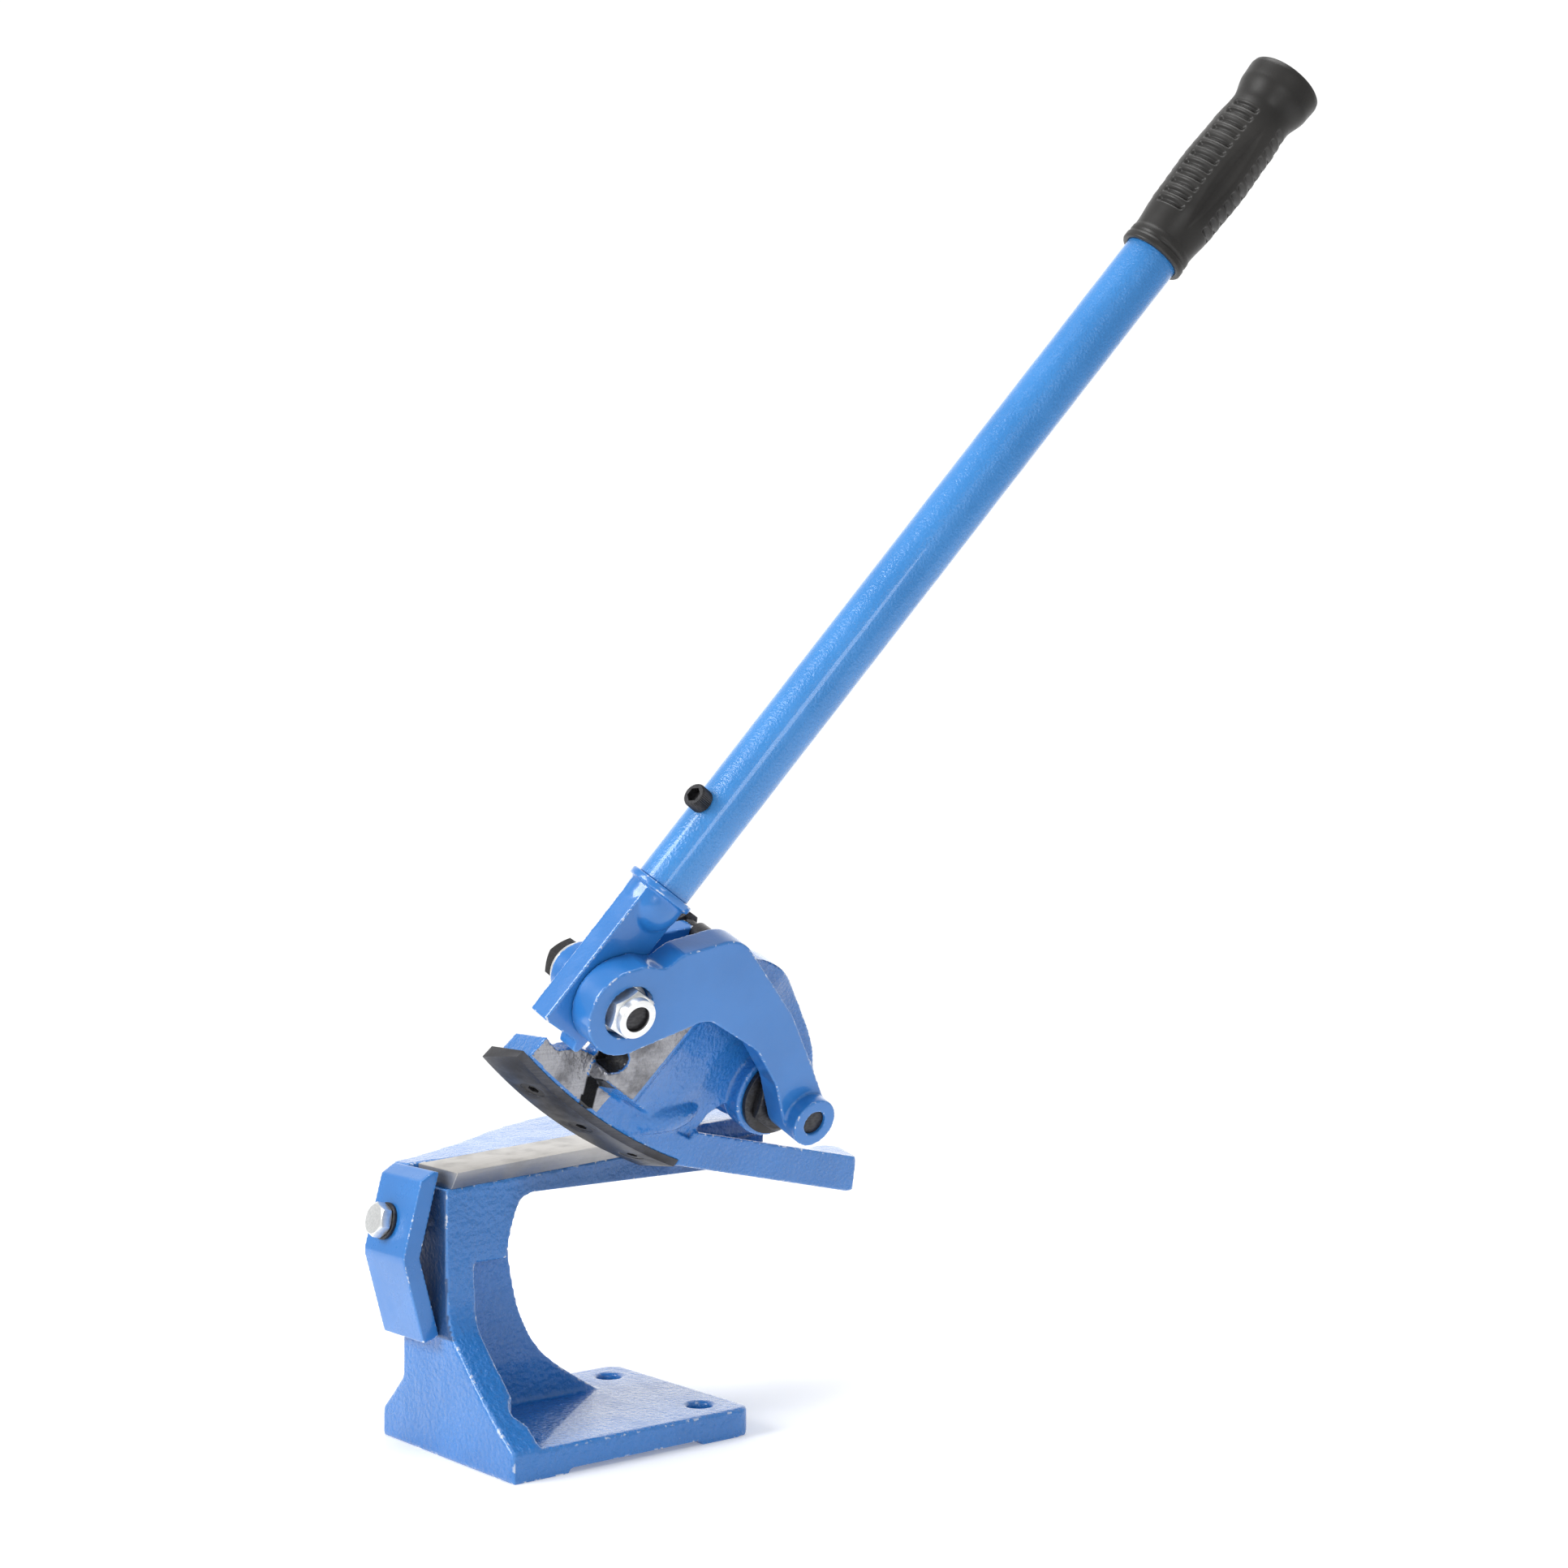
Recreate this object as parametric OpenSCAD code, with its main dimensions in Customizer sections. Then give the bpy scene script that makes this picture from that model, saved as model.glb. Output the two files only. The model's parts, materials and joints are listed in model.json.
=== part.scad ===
// Bench lever shear: a throatless shear with a curved upper blade.
// A toothed lever, carried by two links, rolls along the toothed rim of the
// blade head and swings it down past the lower blade.
// Millimetres, +Z up. The origin is the middle of the base plate on the bench,
// +X is the near side and the clamp end looks to -Y.
// The whole mechanism leans over: its parts are drawn in a tilted frame whose
// local X is the hinge direction, local Y runs to the rear and local Z is up
// along the shear plane.

/* [Base] */
// Width of the base plate across X
base_w = 130; // [110:1:150]
// Length of the base plate along Y
base_l = 158; // [145:1:180]
// Thickness of the base plate
base_t = 15.4; // [12:0.1:20]
// Corner radius of the base plate
base_corner_r = 9; // [4:1:16]
// Diameter of the four bench bolt holes
base_hole_d = 14; // [10:0.5:16]
// Spacing of the bolt holes across X
base_hole_dx = 86; // [76:1:92]
// Spacing of the bolt holes along Y
base_hole_dy = 117; // [105:1:124]
// Height of the relief under the plate between its feet
foot_relief = 2.5; // [1:0.5:4]
// Length of each foot along Y
foot_l = 36; // [25:1:50]

/* [Column] */
// Width of the column head across X
column_w = 54; // [50:1:60]
// Thickness of the front wall of the column
column_wall = 18; // [12:1:24]
// Depth of the column head along Y
column_head_l = 44; // [38:1:50]
// Height of the underside of the arm above the bench
throat_h = 136; // [128:1:140]
// Height of the step under the column head
column_step_h = 102; // [92:1:110]
// Thickness of the column web
web_t = 22; // [16:1:26]
// Distance of the web from the right face of the column
web_inset = 22; // [16:1:24]
// Reach of the web foot behind the middle of the base
web_reach = 36; // [20:1:46]

/* [Arm] */
// Rear end of the arm along Y
arm_rear_y = 140; // [134:1:150]
// Reach of the work table to the left of the column face
table_reach = 108; // [80:1:120]
// Thickness of the work table
table_t = 12; // [8:1:16]
// Drop of the table below the lower blade
table_drop = 0.8; // [0.4:0.2:2]

/* [Shear plane] */
// Lean of the hinge axes below level
tilt = 22.5; // [20:0.5:25]
// X of the shear plane at its reference height
edge_x = 10; // [9:0.5:12]
// Reference height of the shear plane
edge_z = 155; // [153:0.5:158]

/* [Lower blade] */
// Width of the lower blade
lower_w = 42; // [36:1:46]
// Thickness of the lower blade
lower_t = 10; // [8:0.5:11]
// Length of the lower blade
lower_l = 146; // [130:1:147]
// Undercut of the cutting side over the blade thickness
lower_undercut = 8; // [6:0.5:9]
// Y of the front end of the lower blade
lower_front_y = -77; // [-78:0.5:-74]
// Height of the edge at its front end, along the shear plane
lower_front_w = -1.9; // [-3:0.1:-1]
// Rise of the lower blade to the rear, degrees
lower_rise = 4.1; // [3:0.1:5]

/* [Blade clamp] */
// Width of the bent clamp plate
clamp_w = 41; // [34:1:46]
// Thickness of the clamp plate
clamp_t = 10; // [7:0.5:12]
// Height of the upper end of the clamp plate
clamp_top_h = 152; // [148:1:154]
// Height of the bend in the clamp plate
clamp_bend_h = 107.5; // [102:0.5:112]
// Height of the lower end of the clamp plate
clamp_foot_h = 64.5; // [60:0.5:70]
// Bow of the clamp plate away from the column
clamp_bow = 12; // [8:0.5:14]
// Diameter of the clamp bolt
clamp_bolt_d = 10; // [8:1:10]
// Size across flats of the clamp bolt head
clamp_bolt_af = 16.5; // [16:0.5:18]
// Length of the clamp bolt below its head
clamp_bolt_l = 48; // [40:1:55]

/* [Gear pair] */
// Module of the lever teeth and the head teeth
tooth_module = 7; // [6.8:0.05:7.1]
// Teeth that a full turn of the lever would have
lever_teeth = 9; // [9]
// Teeth that a full turn of the head would have
head_teeth = 36; // [36]
// Direction from the head pivot to the lever pivot at rest, degrees
centre_dir = 152.6; // [151:0.1:154]
// Turn of the head teeth from the line of centres at rest, degrees
tooth_phase = 2; // [0:0.5:2.5]
// Addendum of the lever teeth
lever_addendum = 2; // [1.5:0.1:2]
// Addendum of the head teeth
head_addendum = 6.5; // [5.5:0.1:6.5]
// Clearance between tooth tips and roots
tooth_gap = 1.5; // [1.2:0.1:2]
// Width of a notch in the head at its round root
notch_root = 13; // [12:0.5:13]
// Width of a notch in the head at its mouth
notch_mouth = 17; // [16.5:0.25:17.5]

/* [Head] */
// Y of the head pivot
pivot_y = 101; // [100:0.5:102]
// Height of the head pivot along the shear plane
pivot_w = 47.5; // [46.5:0.5:49]
// Outer radius of the hub round the head pivot
hub_r = 27; // [26:0.5:29]
// Thickness of the hub along its axis
hub_t = 14.4; // [13:0.2:14.6]
// Thickness of the head wall behind the teeth
head_wall = 9; // [8:0.25:9.2]
// Thickness of the toothed block in front of the head wall
rack_t = 14.8; // [14:0.2:15.2]
// Thickness of the sole over the upper blade
sole_t = 13; // [12:0.5:14]
// Depth of the tail bar behind the blade seat
tail_t = 21.5; // [18:0.5:24]
// Height of the top of the tail bar at its end
tail_end_z = 139.7; // [136:0.1:144]
// Y of the near corner at the end of the tail bar
tail_end_y = 183; // [165:1:190]
// Corner radius of the tail bar in plan
tail_corner_r = 9; // [6:0.5:12]

/* [Upper blade] */
// Radius of the curved cutting face of the upper blade
upper_r = 430; // [380:1:480]
// Thickness of the upper blade
upper_t = 7; // [6:0.5:8]
// Y of the middle of the upper blade with the head open
upper_mid_y = 0; // [-2:0.5:2]
// Height of the cutting face at that middle
upper_mid_z = 164.8; // [163:0.1:167]
// Slope of the cutting face at that middle, degrees
upper_slope = 27.27; // [26.5:0.01:28]
// Y of the front tip of the upper blade
upper_front_y = -79; // [-82:1:-70]
// Y of the rear end of the upper blade
upper_rear_y = 45; // [40:1:50]
// Diameter of the blade screws
blade_screw_d = 8; // [6:1:8]
// Head diameter of the blade screws
blade_screw_head_d = 14; // [12:0.5:16]

/* [Main pivot] */
// Diameter of the main pivot bolt
pivot_d = 24; // [20:1:26]
// Size across flats of the main pivot nut and bolt head
pivot_af = 36; // [32:1:36]
// Height of the main pivot nut
pivot_nut_t = 6; // [5:0.2:6.2]
// Outer diameter of the main pivot washer
pivot_washer_d = 48; // [44:1:50]
// Thickness of the main pivot washer
pivot_washer_t = 3; // [2:0.5:3]
// Diameter of the spigot that carries the near link
spigot_d = 14; // [12:0.5:16]

/* [Links] */
// Thickness of the near link
near_link_t = 17; // [15:0.5:19]
// Radius of the near link eye round the lever bolt
near_eye_r = 24.5; // [23:0.5:26]
// Half width of the near link at its knee
near_knee_r = 21.5; // [20:0.5:23]
// Half width of the near link at its pivot boss
near_boss_r = 14; // [12:0.5:16]
// Length of the near link pivot boss along its axis
near_boss_l = 26; // [24:0.5:28]
// Thickness of the far link
far_link_t = 10; // [8:0.2:10.2]
// Radius of the far link eye round the lever bolt
far_eye_r = 16; // [14:0.5:16]
// Diameter of the tie bolt between the links
tie_d = 12; // [10:0.5:12]

/* [Lever bolt] */
// Diameter of the lever bolt
lever_bolt_d = 14; // [12:1:16]
// Size across flats of the lever bolt head
lever_bolt_af = 22; // [19:0.5:23]
// Size across flats of the lock nut
lock_nut_af = 23.5; // [21:0.5:24]
// Outer diameter of the spacer beside the lever
spacer_d = 24; // [20:0.5:24]
// Depth of the counterbore in the near link eye
eye_sink = 9; // [6:0.5:10]
// Outer diameter of the lever bolt washers
lever_washer_d = 28; // [26:0.5:30]
// Thickness of the lever bolt washers
lever_washer_t = 3; // [2:0.25:3.5]
// Height of the lock nut
lock_nut_t = 13.5; // [11:0.5:15]
// Diameter of the collar of the lock nut
lock_collar_d = 21.5; // [19:0.5:22]

/* [Lever] */
// Direction of the handle at rest, degrees above level to the rear
handle_dir = 58.6; // [57:0.1:60]
// Thickness of the lever plate
lever_t = 14.2; // [13:0.2:14.4]
// Width of the lever plate
lever_w = 30; // [27:0.5:32]
// Offset of the handle axis from the lever bolt
handle_offset = 12.3; // [11:0.1:14]
// Distance from the lever bolt to the shoulder that the pipe stands on
collar_at = 61; // [58:0.5:70]
// Diameter of the socket boss
socket_d = 32; // [30:0.5:33]
// Length of the socket boss above its round end
socket_l = 9; // [7:0.5:12]
// Diameter of the collar under the pipe
collar_d = 37; // [35:0.5:40]
// Thickness of the collar under the pipe
collar_t = 4; // [3:0.5:6]
// Reach of the lever nose past the lever bolt
nose_l = 28.5; // [26:0.5:30]
// Wall of the bush in the lever eye
bush_wall = 2.5; // [2:0.25:3]

/* [Handle] */
// Outer diameter of the handle pipe
pipe_d = 30; // [27:0.5:33]
// Wall of the handle pipe
pipe_wall = 3; // [2:0.25:4]
// Length of the handle pipe
pipe_l = 532; // [480:1:600]
// Length of the spigot inside the pipe
handle_spigot_l = 64; // [56:1:90]
// Distance of the handle screw above the foot of the pipe
handle_screw_at = 46.5; // [35:0.5:50]
// Diameter of the handle screw
handle_screw_d = 8; // [6:1:8]
// Length of the handle screw below its head
handle_screw_l = 20; // [16:1:22]
// Length of the grip
grip_l = 121; // [100:1:140]
// Outer diameter of the grip at its flared end
grip_end_d = 42; // [39:0.5:46]
// Wall of the grip along its slim neck
grip_wall = 2.6; // [2:0.2:4]

/* [Fits] */
// Radial clearance of a running fit or a bolt in its hole
fit = 0.05; // [0.02:0.01:0.1]
// Gap between flat faces that slide past each other
run_gap = 0.6; // [0.4:0.1:0.8]
// Gap between the two blades
blade_gap = 0.3; // [0.2:0.05:0.4]

/* [Hidden] */
$fn = 72;

paint = "#2f78d0";
paint_light = "#4489d8";
bright_steel = "#b9bcbd";
dark_steel = "#6d6b68";
black_steel = "#26262a";
zinc = "#d5d9dc";
bronze = "#a9803f";
rubber = "#1c1c1e";

// Far enough to cut right through any piece
far = 900;
// Left end and width of the rings that shape the upper blade
ring_x = -60;
ring_w = 200;
// How far inside the flats the turned end of a hexagon starts
hex_relief = 0.4;

function polar(r, a) = [r * cos(a), r * sin(a)];
// One Catmull-Rom stretch between p1 and p2
function stretch(p0, p1, p2, p3, t) =
  0.5 * (2 * p1 + (p2 - p0) * t + (2 * p0 - 5 * p1 + 4 * p2 - p3) * t * t
    + (3 * p1 - p0 - 3 * p2 + p3) * t * t * t);
// A smooth open line through the given points, n steps a stretch
function smooth(p, n = 6) = let (m = len(p) - 1) [
  for (i = [0 : m - 1], k = [0 : n - 1])
    stretch(p[max(i - 1, 0)], p[i], p[i + 1], p[min(i + 2, m)], k / n),
  p[m]];
front_y = -base_l / 2;
column_right_x = 0;

// Places along the hinge direction, from the shear plane to the near side
frame_boss_s = 7.4;
far_link_s = frame_boss_s + run_gap;
hub_s = far_link_s + far_link_t + run_gap;
rack_s = hub_s + head_wall;
lever_s = rack_s + run_gap;
lever_mid_s = lever_s + lever_t / 2;
near_link_s = lever_s + lever_t + run_gap;
rack_end_s = rack_s + rack_t;
near_face_s = near_link_s + near_link_t;
pivot_washer_s = hub_s + hub_t + blade_gap;
pivot_nut_s = pivot_washer_s + pivot_washer_t;
spigot_s = pivot_nut_s + pivot_nut_t;
cheek_s = -24;
cheek_face_s = -2;
sink_s = near_face_s - eye_sink;

// Gear pair: pitch radii, centres, tip and root radii
lever_pitch_r = tooth_module * lever_teeth / 2;
head_pitch_r = tooth_module * head_teeth / 2;
centre_dist = lever_pitch_r + head_pitch_r;
lever_tip_r = lever_pitch_r + lever_addendum;
head_tip_r = head_pitch_r + head_addendum;
lever_root_r = centre_dist - head_tip_r - tooth_gap;
head_root_r = centre_dist - lever_tip_r - tooth_gap;
head_step = 360 / head_teeth;
lever_step = 360 / lever_teeth;
pivot = [pivot_y, pivot_w];
lever_pivot = pivot + polar(centre_dist, centre_dir);

// Upper blade: axis of its curve, radii and end angles about it
upper_axis_y = upper_mid_y + upper_r * sin(upper_slope);
upper_axis_z = upper_mid_z + upper_r * cos(upper_slope);
blade_back_r = upper_r - upper_t;
sole_r = blade_back_r - sole_t;
function curve_angle(y, r) = asin((y - upper_axis_y) / r);
upper_front_a = curve_angle(upper_front_y, upper_r);
upper_rear_a = curve_angle(upper_rear_y, upper_r);
sole_front_a = upper_front_a + 0.8;
seat_a = upper_rear_a + 0.1;
blade_screw_count = 3;
// Straight rim of a blade screw's head
blade_screw_land = 0.5;
function blade_screw_a(i) =
  upper_front_a + (upper_rear_a - upper_front_a) * (0.23 + 0.31 * i);

// Head outline, polar about the head pivot
rack_start_a = centre_dir + tooth_phase - 1.05 * head_step;
rack_end_a = centre_dir + tooth_phase + 2.5 * head_step;

// Shoulder of the body: a point on it and the lean of the fall that starts there
shoulder_y = -10;
shoulder_w = 55;
shoulder_lean = 33.5;
// Thickness of the thin part of the body round the hub
body_low_t = 5.4;
// X of the near corner at the end of the tail bar
tail_near_x = edge_x + rack_s * cos(tilt) + (tail_end_z - edge_z + rack_s * sin(tilt)) * tan(tilt);

// Link knees, from the lever pivot
near_knee = lever_pivot + [54.8, 16];
near_shin = lever_pivot + [100.8, -18];
near_ankle = lever_pivot + [122.8, -45];
far_knee = lever_pivot + [62.8, 6];
far_shin = lever_pivot + [104.8, -22];
link_tie_at = lever_pivot + [66.8, 22.5];
near_shin_r = 13.5;
near_ankle_r = 12;
far_knee_r = 20;
far_shin_r = 15;
far_boss_r = 22;
link_fillet = 14;

// Clamp plate, side view (y, z)
clamp_head = [front_y - blade_gap, clamp_top_h];
clamp_bend = [front_y - blade_gap - clamp_bow, clamp_bend_h];
clamp_foot = [front_y - blade_gap, clamp_foot_h];
clamp_lean = atan2(clamp_head[0] - clamp_bend[0], clamp_head[1] - clamp_bend[1]);
clamp_foot_lean = atan2(clamp_foot[0] - clamp_bend[0], clamp_bend[1] - clamp_foot[1]);
clamp_leg = norm(clamp_head - clamp_bend);
clamp_mid_x = -26;
clamp_bolt_up = 15;
clamp_bolt_x = -30;
clamp_washer_t = 2;
clamp_washer_d = 20;
clamp_head_t = 6.5;

// Grip
grip_at = pipe_l - grip_l + 8;

// The tilted frame of the mechanism
module tilted() translate([edge_x, 0, edge_z]) rotate([0, tilt, 0]) children();
// A flat shape in (y, height) pulled from s0 to s1 along the hinge direction
module slab(s0, s1) translate([s0, 0, 0]) rotate([90, 0, 90]) linear_extrude(s1 - s0) children();
// A round bar along the hinge direction at p
module axle(p, s0, s1, d) translate([s0, p[0], p[1]]) rotate([0, 90, 0]) cylinder(h = s1 - s0, d = d);
// A hexagon of height h with its corners turned off at both ends
module hexagon(h, af) {
  corner_r = af / 2 / cos(30);
  turned = (corner_r - af / 2 + hex_relief) * tan(30);
  intersection() {
    cylinder(h = h, r = corner_r, $fn = 6);
    rotate_extrude() polygon([[0, 0], [af / 2 - hex_relief, 0], [corner_r, turned],
      [corner_r, h - turned], [af / 2 - hex_relief, h], [0, h]]);
  }
}
// A hexagon bar along the hinge direction at p
module hex_bar(p, s0, s1, af) translate([s0, p[0], p[1]]) rotate([0, 90, 0]) hexagon(s1 - s0, af);
// Rounded rectangle about the origin
module round_rect(w, l, r) {
  square([w - 2 * r, l], center = true);
  square([w, l - 2 * r], center = true);
  for (x = [-1, 1], y = [-1, 1]) translate([x * (w / 2 - r), y * (l / 2 - r)]) circle(r);
}
// The frame of the lower blade: its cutting edge runs along local Y at the origin
module lower_frame()
  tilted() translate([0, lower_front_y, lower_front_w]) rotate([lower_rise, 0, 0])
    rotate([0, -tilt, 0]) children();
// A ring sector about the axis of the upper blade's curve, wide across X
module curve_ring(r0, r1, a0, a1)
  translate([ring_x, upper_axis_y, upper_axis_z]) rotate([0, 90, 0]) rotate([0, 0, a0])
    rotate_extrude(angle = a1 - a0, $fn = 360) translate([r0, 0]) square([r1 - r0, ring_w]);
// The slice of space that the blade, sole and tail keep to
module blade_slice()
  tilted() translate([blade_gap, -far / 2, -far / 2])
    cube([rack_s - blade_gap, far, far]);

// Cast frame: base plate, column, arm with work table, and the pivot cheek
module base_plate() difference() {
  linear_extrude(base_t) round_rect(base_w, base_l, base_corner_r);
  translate([-far / 2, front_y + foot_l, -1]) cube([far, base_l - 2 * foot_l, foot_relief + 1]);
}
module column_front() {
  right_edge = smooth([[column_right_x, throat_h + 4], [column_right_x + 1, 95],
    [column_right_x + 4, 70], [18, 54.6], [33, 40.5], [49, 27], [base_w / 2, base_t]]);
  left_edge = smooth([[-base_w / 2, base_t], [-52, 28], [-42, 40], [-37, 58],
    [-44, 95], [column_right_x - column_w, throat_h + 4]]);
  translate([0, front_y + column_wall, 0]) rotate([90, 0, 0]) linear_extrude(column_wall)
    polygon(concat(right_edge, [[base_w / 2, base_t / 2], [-base_w / 2, base_t / 2]], left_edge));
}
module column_head()
  translate([column_right_x - column_w, 0, 0]) rotate([90, 0, 90]) linear_extrude(column_w)
    polygon(concat([[front_y, column_step_h], [front_y + column_head_l - 5, column_step_h]],
      smooth([[front_y + column_head_l - 5, column_step_h], [front_y + column_head_l - 1, 120],
        [front_y + column_head_l + 5, 133], [front_y + column_head_l + 17, throat_h + 1]]),
      [[front_y, throat_h + 4]]));
module column_web() {
  inner = smooth([[-20, throat_h + 1], [-25, 118], [-24, 97], [-16.5, 65], [0, 40], [web_reach, base_t]]);
  translate([column_right_x - web_inset - web_t, 0, 0]) rotate([90, 0, 90]) linear_extrude(web_t)
    polygon(concat([[front_y, throat_h + 1]], inner, [[web_reach, base_t / 2], [front_y, base_t / 2]]));
}
module arm_plan() {
  left = smooth([[column_right_x - column_w, front_y], [-58, -62], [-74, -25], [-92, 8],
    [-table_reach + 2, 50], [-table_reach, 78], [-table_reach + 14, arm_rear_y - 24],
    [-66, arm_rear_y - 4], [-40, arm_rear_y]]);
  polygon(concat(left, [[column_right_x, arm_rear_y], [column_right_x, front_y]]));
}
module arm() intersection() {
  union() {
    translate([0, 0, throat_h]) linear_extrude(60) intersection() {
      arm_plan();
      translate([column_right_x - column_w, front_y]) square([column_w, far]);
    }
    lower_frame() translate([0, 0, -table_drop - table_t]) rotate([0, 0, 0])
      linear_extrude(table_t) translate([-edge_x, -lower_front_y]) arm_plan();
  }
  lower_frame() translate([-far / 2, -far / 2, -table_drop - far]) cube([far, far, far]);
}
module cheek() tilted() {
  slab(cheek_s, cheek_face_s) {
    translate(pivot) circle(30);
    polygon([[pivot_y - 31, -16], [pivot_y, -16], [pivot_y - 15, 0], [pivot_y - 19, 10],
      [pivot_y - 15, 21], [pivot_y + 20, pivot_w], [pivot_y - 30, pivot_w]]);
  }
  axle(pivot, cheek_face_s - 1, frame_boss_s, 56);
}
module blade_pocket() lower_frame() {
  translate([-lower_w - blade_gap, -40, -lower_t])
    cube([lower_w + 80, lower_l + 40 + blade_gap, 60]);
  translate([0, 0, -lower_t]) linear_extrude(60)
    polygon([[-lower_w, -20], [-lower_w - 8, -20], [-lower_w - 8, -1], [-lower_w, 36]]);
}
module frame() color(paint) difference() {
  union() {
    base_plate();
    column_front();
    column_head();
    column_web();
    arm();
    cheek();
  }
  for (x = [-1, 1], y = [-1, 1])
    translate([x * base_hole_dx / 2, y * base_hole_dy / 2, -1]) cylinder(h = 60, d = base_hole_d);
  blade_pocket();
  tilted() axle(pivot, cheek_s - 20, frame_boss_s + 1, pivot_d + 2 * fit);
  clamp_frame() translate([0, -1, 0]) rotate([-90, 0, 0])
    cylinder(h = clamp_bolt_l + 8, d = clamp_bolt_d + 2 * fit);
}

// Lower blade: a ground bar with an undercut cutting side
module lower_blade() color(bright_steel) lower_frame()
  translate([0, lower_l, 0]) rotate([90, 0, 0]) linear_extrude(lower_l)
    polygon([[-lower_w, -lower_t], [-lower_w, 0], [0, 0], [-lower_undercut, -lower_t]]);

// Blade clamp: a bent plate with one bolt through its upper leg
module clamp_frame()
  translate([clamp_bolt_x, clamp_bend[0], clamp_bend[1]]) rotate([-clamp_lean, 0, 0])
    translate([0, 0, clamp_bolt_up]) children();
module clamp_plate() color(paint_light) difference() {
  outer_up = polar(clamp_t, 180 - clamp_lean);
  outer_down = polar(clamp_t, 180 + clamp_foot_lean);
  translate([clamp_mid_x - clamp_w / 2, 0, 0]) rotate([90, 0, 90]) linear_extrude(clamp_w)
    polygon(concat([clamp_head, clamp_bend, clamp_foot, clamp_foot + outer_down],
      [for (a = [180 + clamp_foot_lean : -4 : 180 - clamp_lean]) clamp_bend + polar(clamp_t, a)],
      [clamp_head + outer_up]));
  clamp_frame() translate([0, -clamp_t - 1, 0]) rotate([-90, 0, 0])
    cylinder(h = clamp_t + 2, d = clamp_bolt_d + 1);
}
module clamp_washer() color(black_steel) clamp_frame()
  translate([0, -clamp_t - clamp_washer_t, 0]) rotate([-90, 0, 0]) difference() {
    cylinder(h = clamp_washer_t, d = clamp_washer_d);
    translate([0, 0, -1]) cylinder(h = clamp_washer_t + 2, d = clamp_bolt_d + 2 * fit);
  }
module clamp_bolt() color(zinc) clamp_frame()
  translate([0, -clamp_t - clamp_washer_t, 0]) rotate([-90, 0, 0]) {
    cylinder(h = clamp_bolt_l, d = clamp_bolt_d);
    rotate([0, 0, 20]) translate([0, 0, -clamp_head_t]) hexagon(clamp_head_t, clamp_bolt_af);
  }

// Main pivot: bolt fixed in the frame cheek, its nut, and the spigot of the near link
module pivot_bolt() color(black_steel) tilted() {
  hex_bar(pivot, cheek_s - 15, cheek_s, pivot_af);
  axle(pivot, cheek_s, spigot_s, pivot_d);
  axle(pivot, spigot_s - 1, near_link_s + near_boss_l - 2, spigot_d);
}
module pivot_washer() color(black_steel) tilted() difference() {
  axle(pivot, pivot_washer_s, pivot_nut_s, pivot_washer_d);
  axle(pivot, pivot_washer_s - 1, pivot_nut_s + 1, pivot_d + 2 * fit);
}
module pivot_nut() color(black_steel) tilted() difference() {
  hex_bar(pivot, pivot_nut_s, spigot_s, pivot_af);
  axle(pivot, pivot_nut_s - 1, spigot_s + 1, pivot_d + 2 * fit);
}

// Head: sole, tail bar, wall, drum shaped body and the toothed block
module body_outline() translate(pivot) {
  back = smooth([polar(34, 0), polar(35, 42), polar(53, 84), polar(75, 101), polar(94, 114),
    polar(104, 122), polar(109, 130), polar(111, rack_start_a - 1)]);
  rim = [for (a = [rack_start_a : 1.5 : rack_end_a]) polar(head_tip_r, a)];
  polygon(concat(back, rim, [[-133, -60], [-44, -60], [-44, -26], [-38, -15], [-29, -10]],
    [for (a = [200 : 8 : 344]) polar(hub_r - 2, a)]));
}
module notches() translate(pivot) for (i = [-1 : 2]) rotate(centre_dir + tooth_phase + i * head_step) {
  translate([head_root_r + notch_root / 2, 0]) circle(d = notch_root);
  polygon([[head_root_r + notch_root / 2, -notch_root / 2], [head_tip_r + 1, -notch_mouth / 2],
    [head_tip_r + 1, notch_mouth / 2], [head_root_r + notch_root / 2, notch_root / 2]]);
}
// Section of the body across its shoulder: full thickness at the teeth, falling to the hub
module body_section() {
  low_s = hub_s + body_low_t;
  fall = smooth([[rack_end_s, 0], [rack_end_s - 2.9, 14], [rack_end_s - 9.4, 36],
    [low_s + 2, 60], [low_s, 78], [low_s, 96]]);
  polygon(concat([[hub_s, -shoulder_y - far / 4], [rack_end_s, -shoulder_y - far / 4]], fall,
    [[low_s, far / 4], [hub_s, far / 4]]));
}
module body_shoulder()
  tilted() translate([0, shoulder_y, shoulder_w]) rotate([-shoulder_lean, 0, 0])
    translate([0, 0, -far / 2]) linear_extrude(far) body_section();
module head_body() intersection() {
  union() {
    intersection() {
      tilted() slab(hub_s, rack_s) {
        body_outline();
        polygon([[-62, 0], [-62, 66], [-59, 82], [-40, 84], [-10, 70], [0, 0]]);
      }
      curve_ring(upper_r / 4, blade_back_r, -75, 30);
    }
    intersection() {
      tilted() slab(rack_s - 0.5, rack_end_s) difference() {
        body_outline();
        notches();
      }
      curve_ring(upper_r / 4, sole_r, -75, 30);
    }
  }
  body_shoulder();
}
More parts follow.
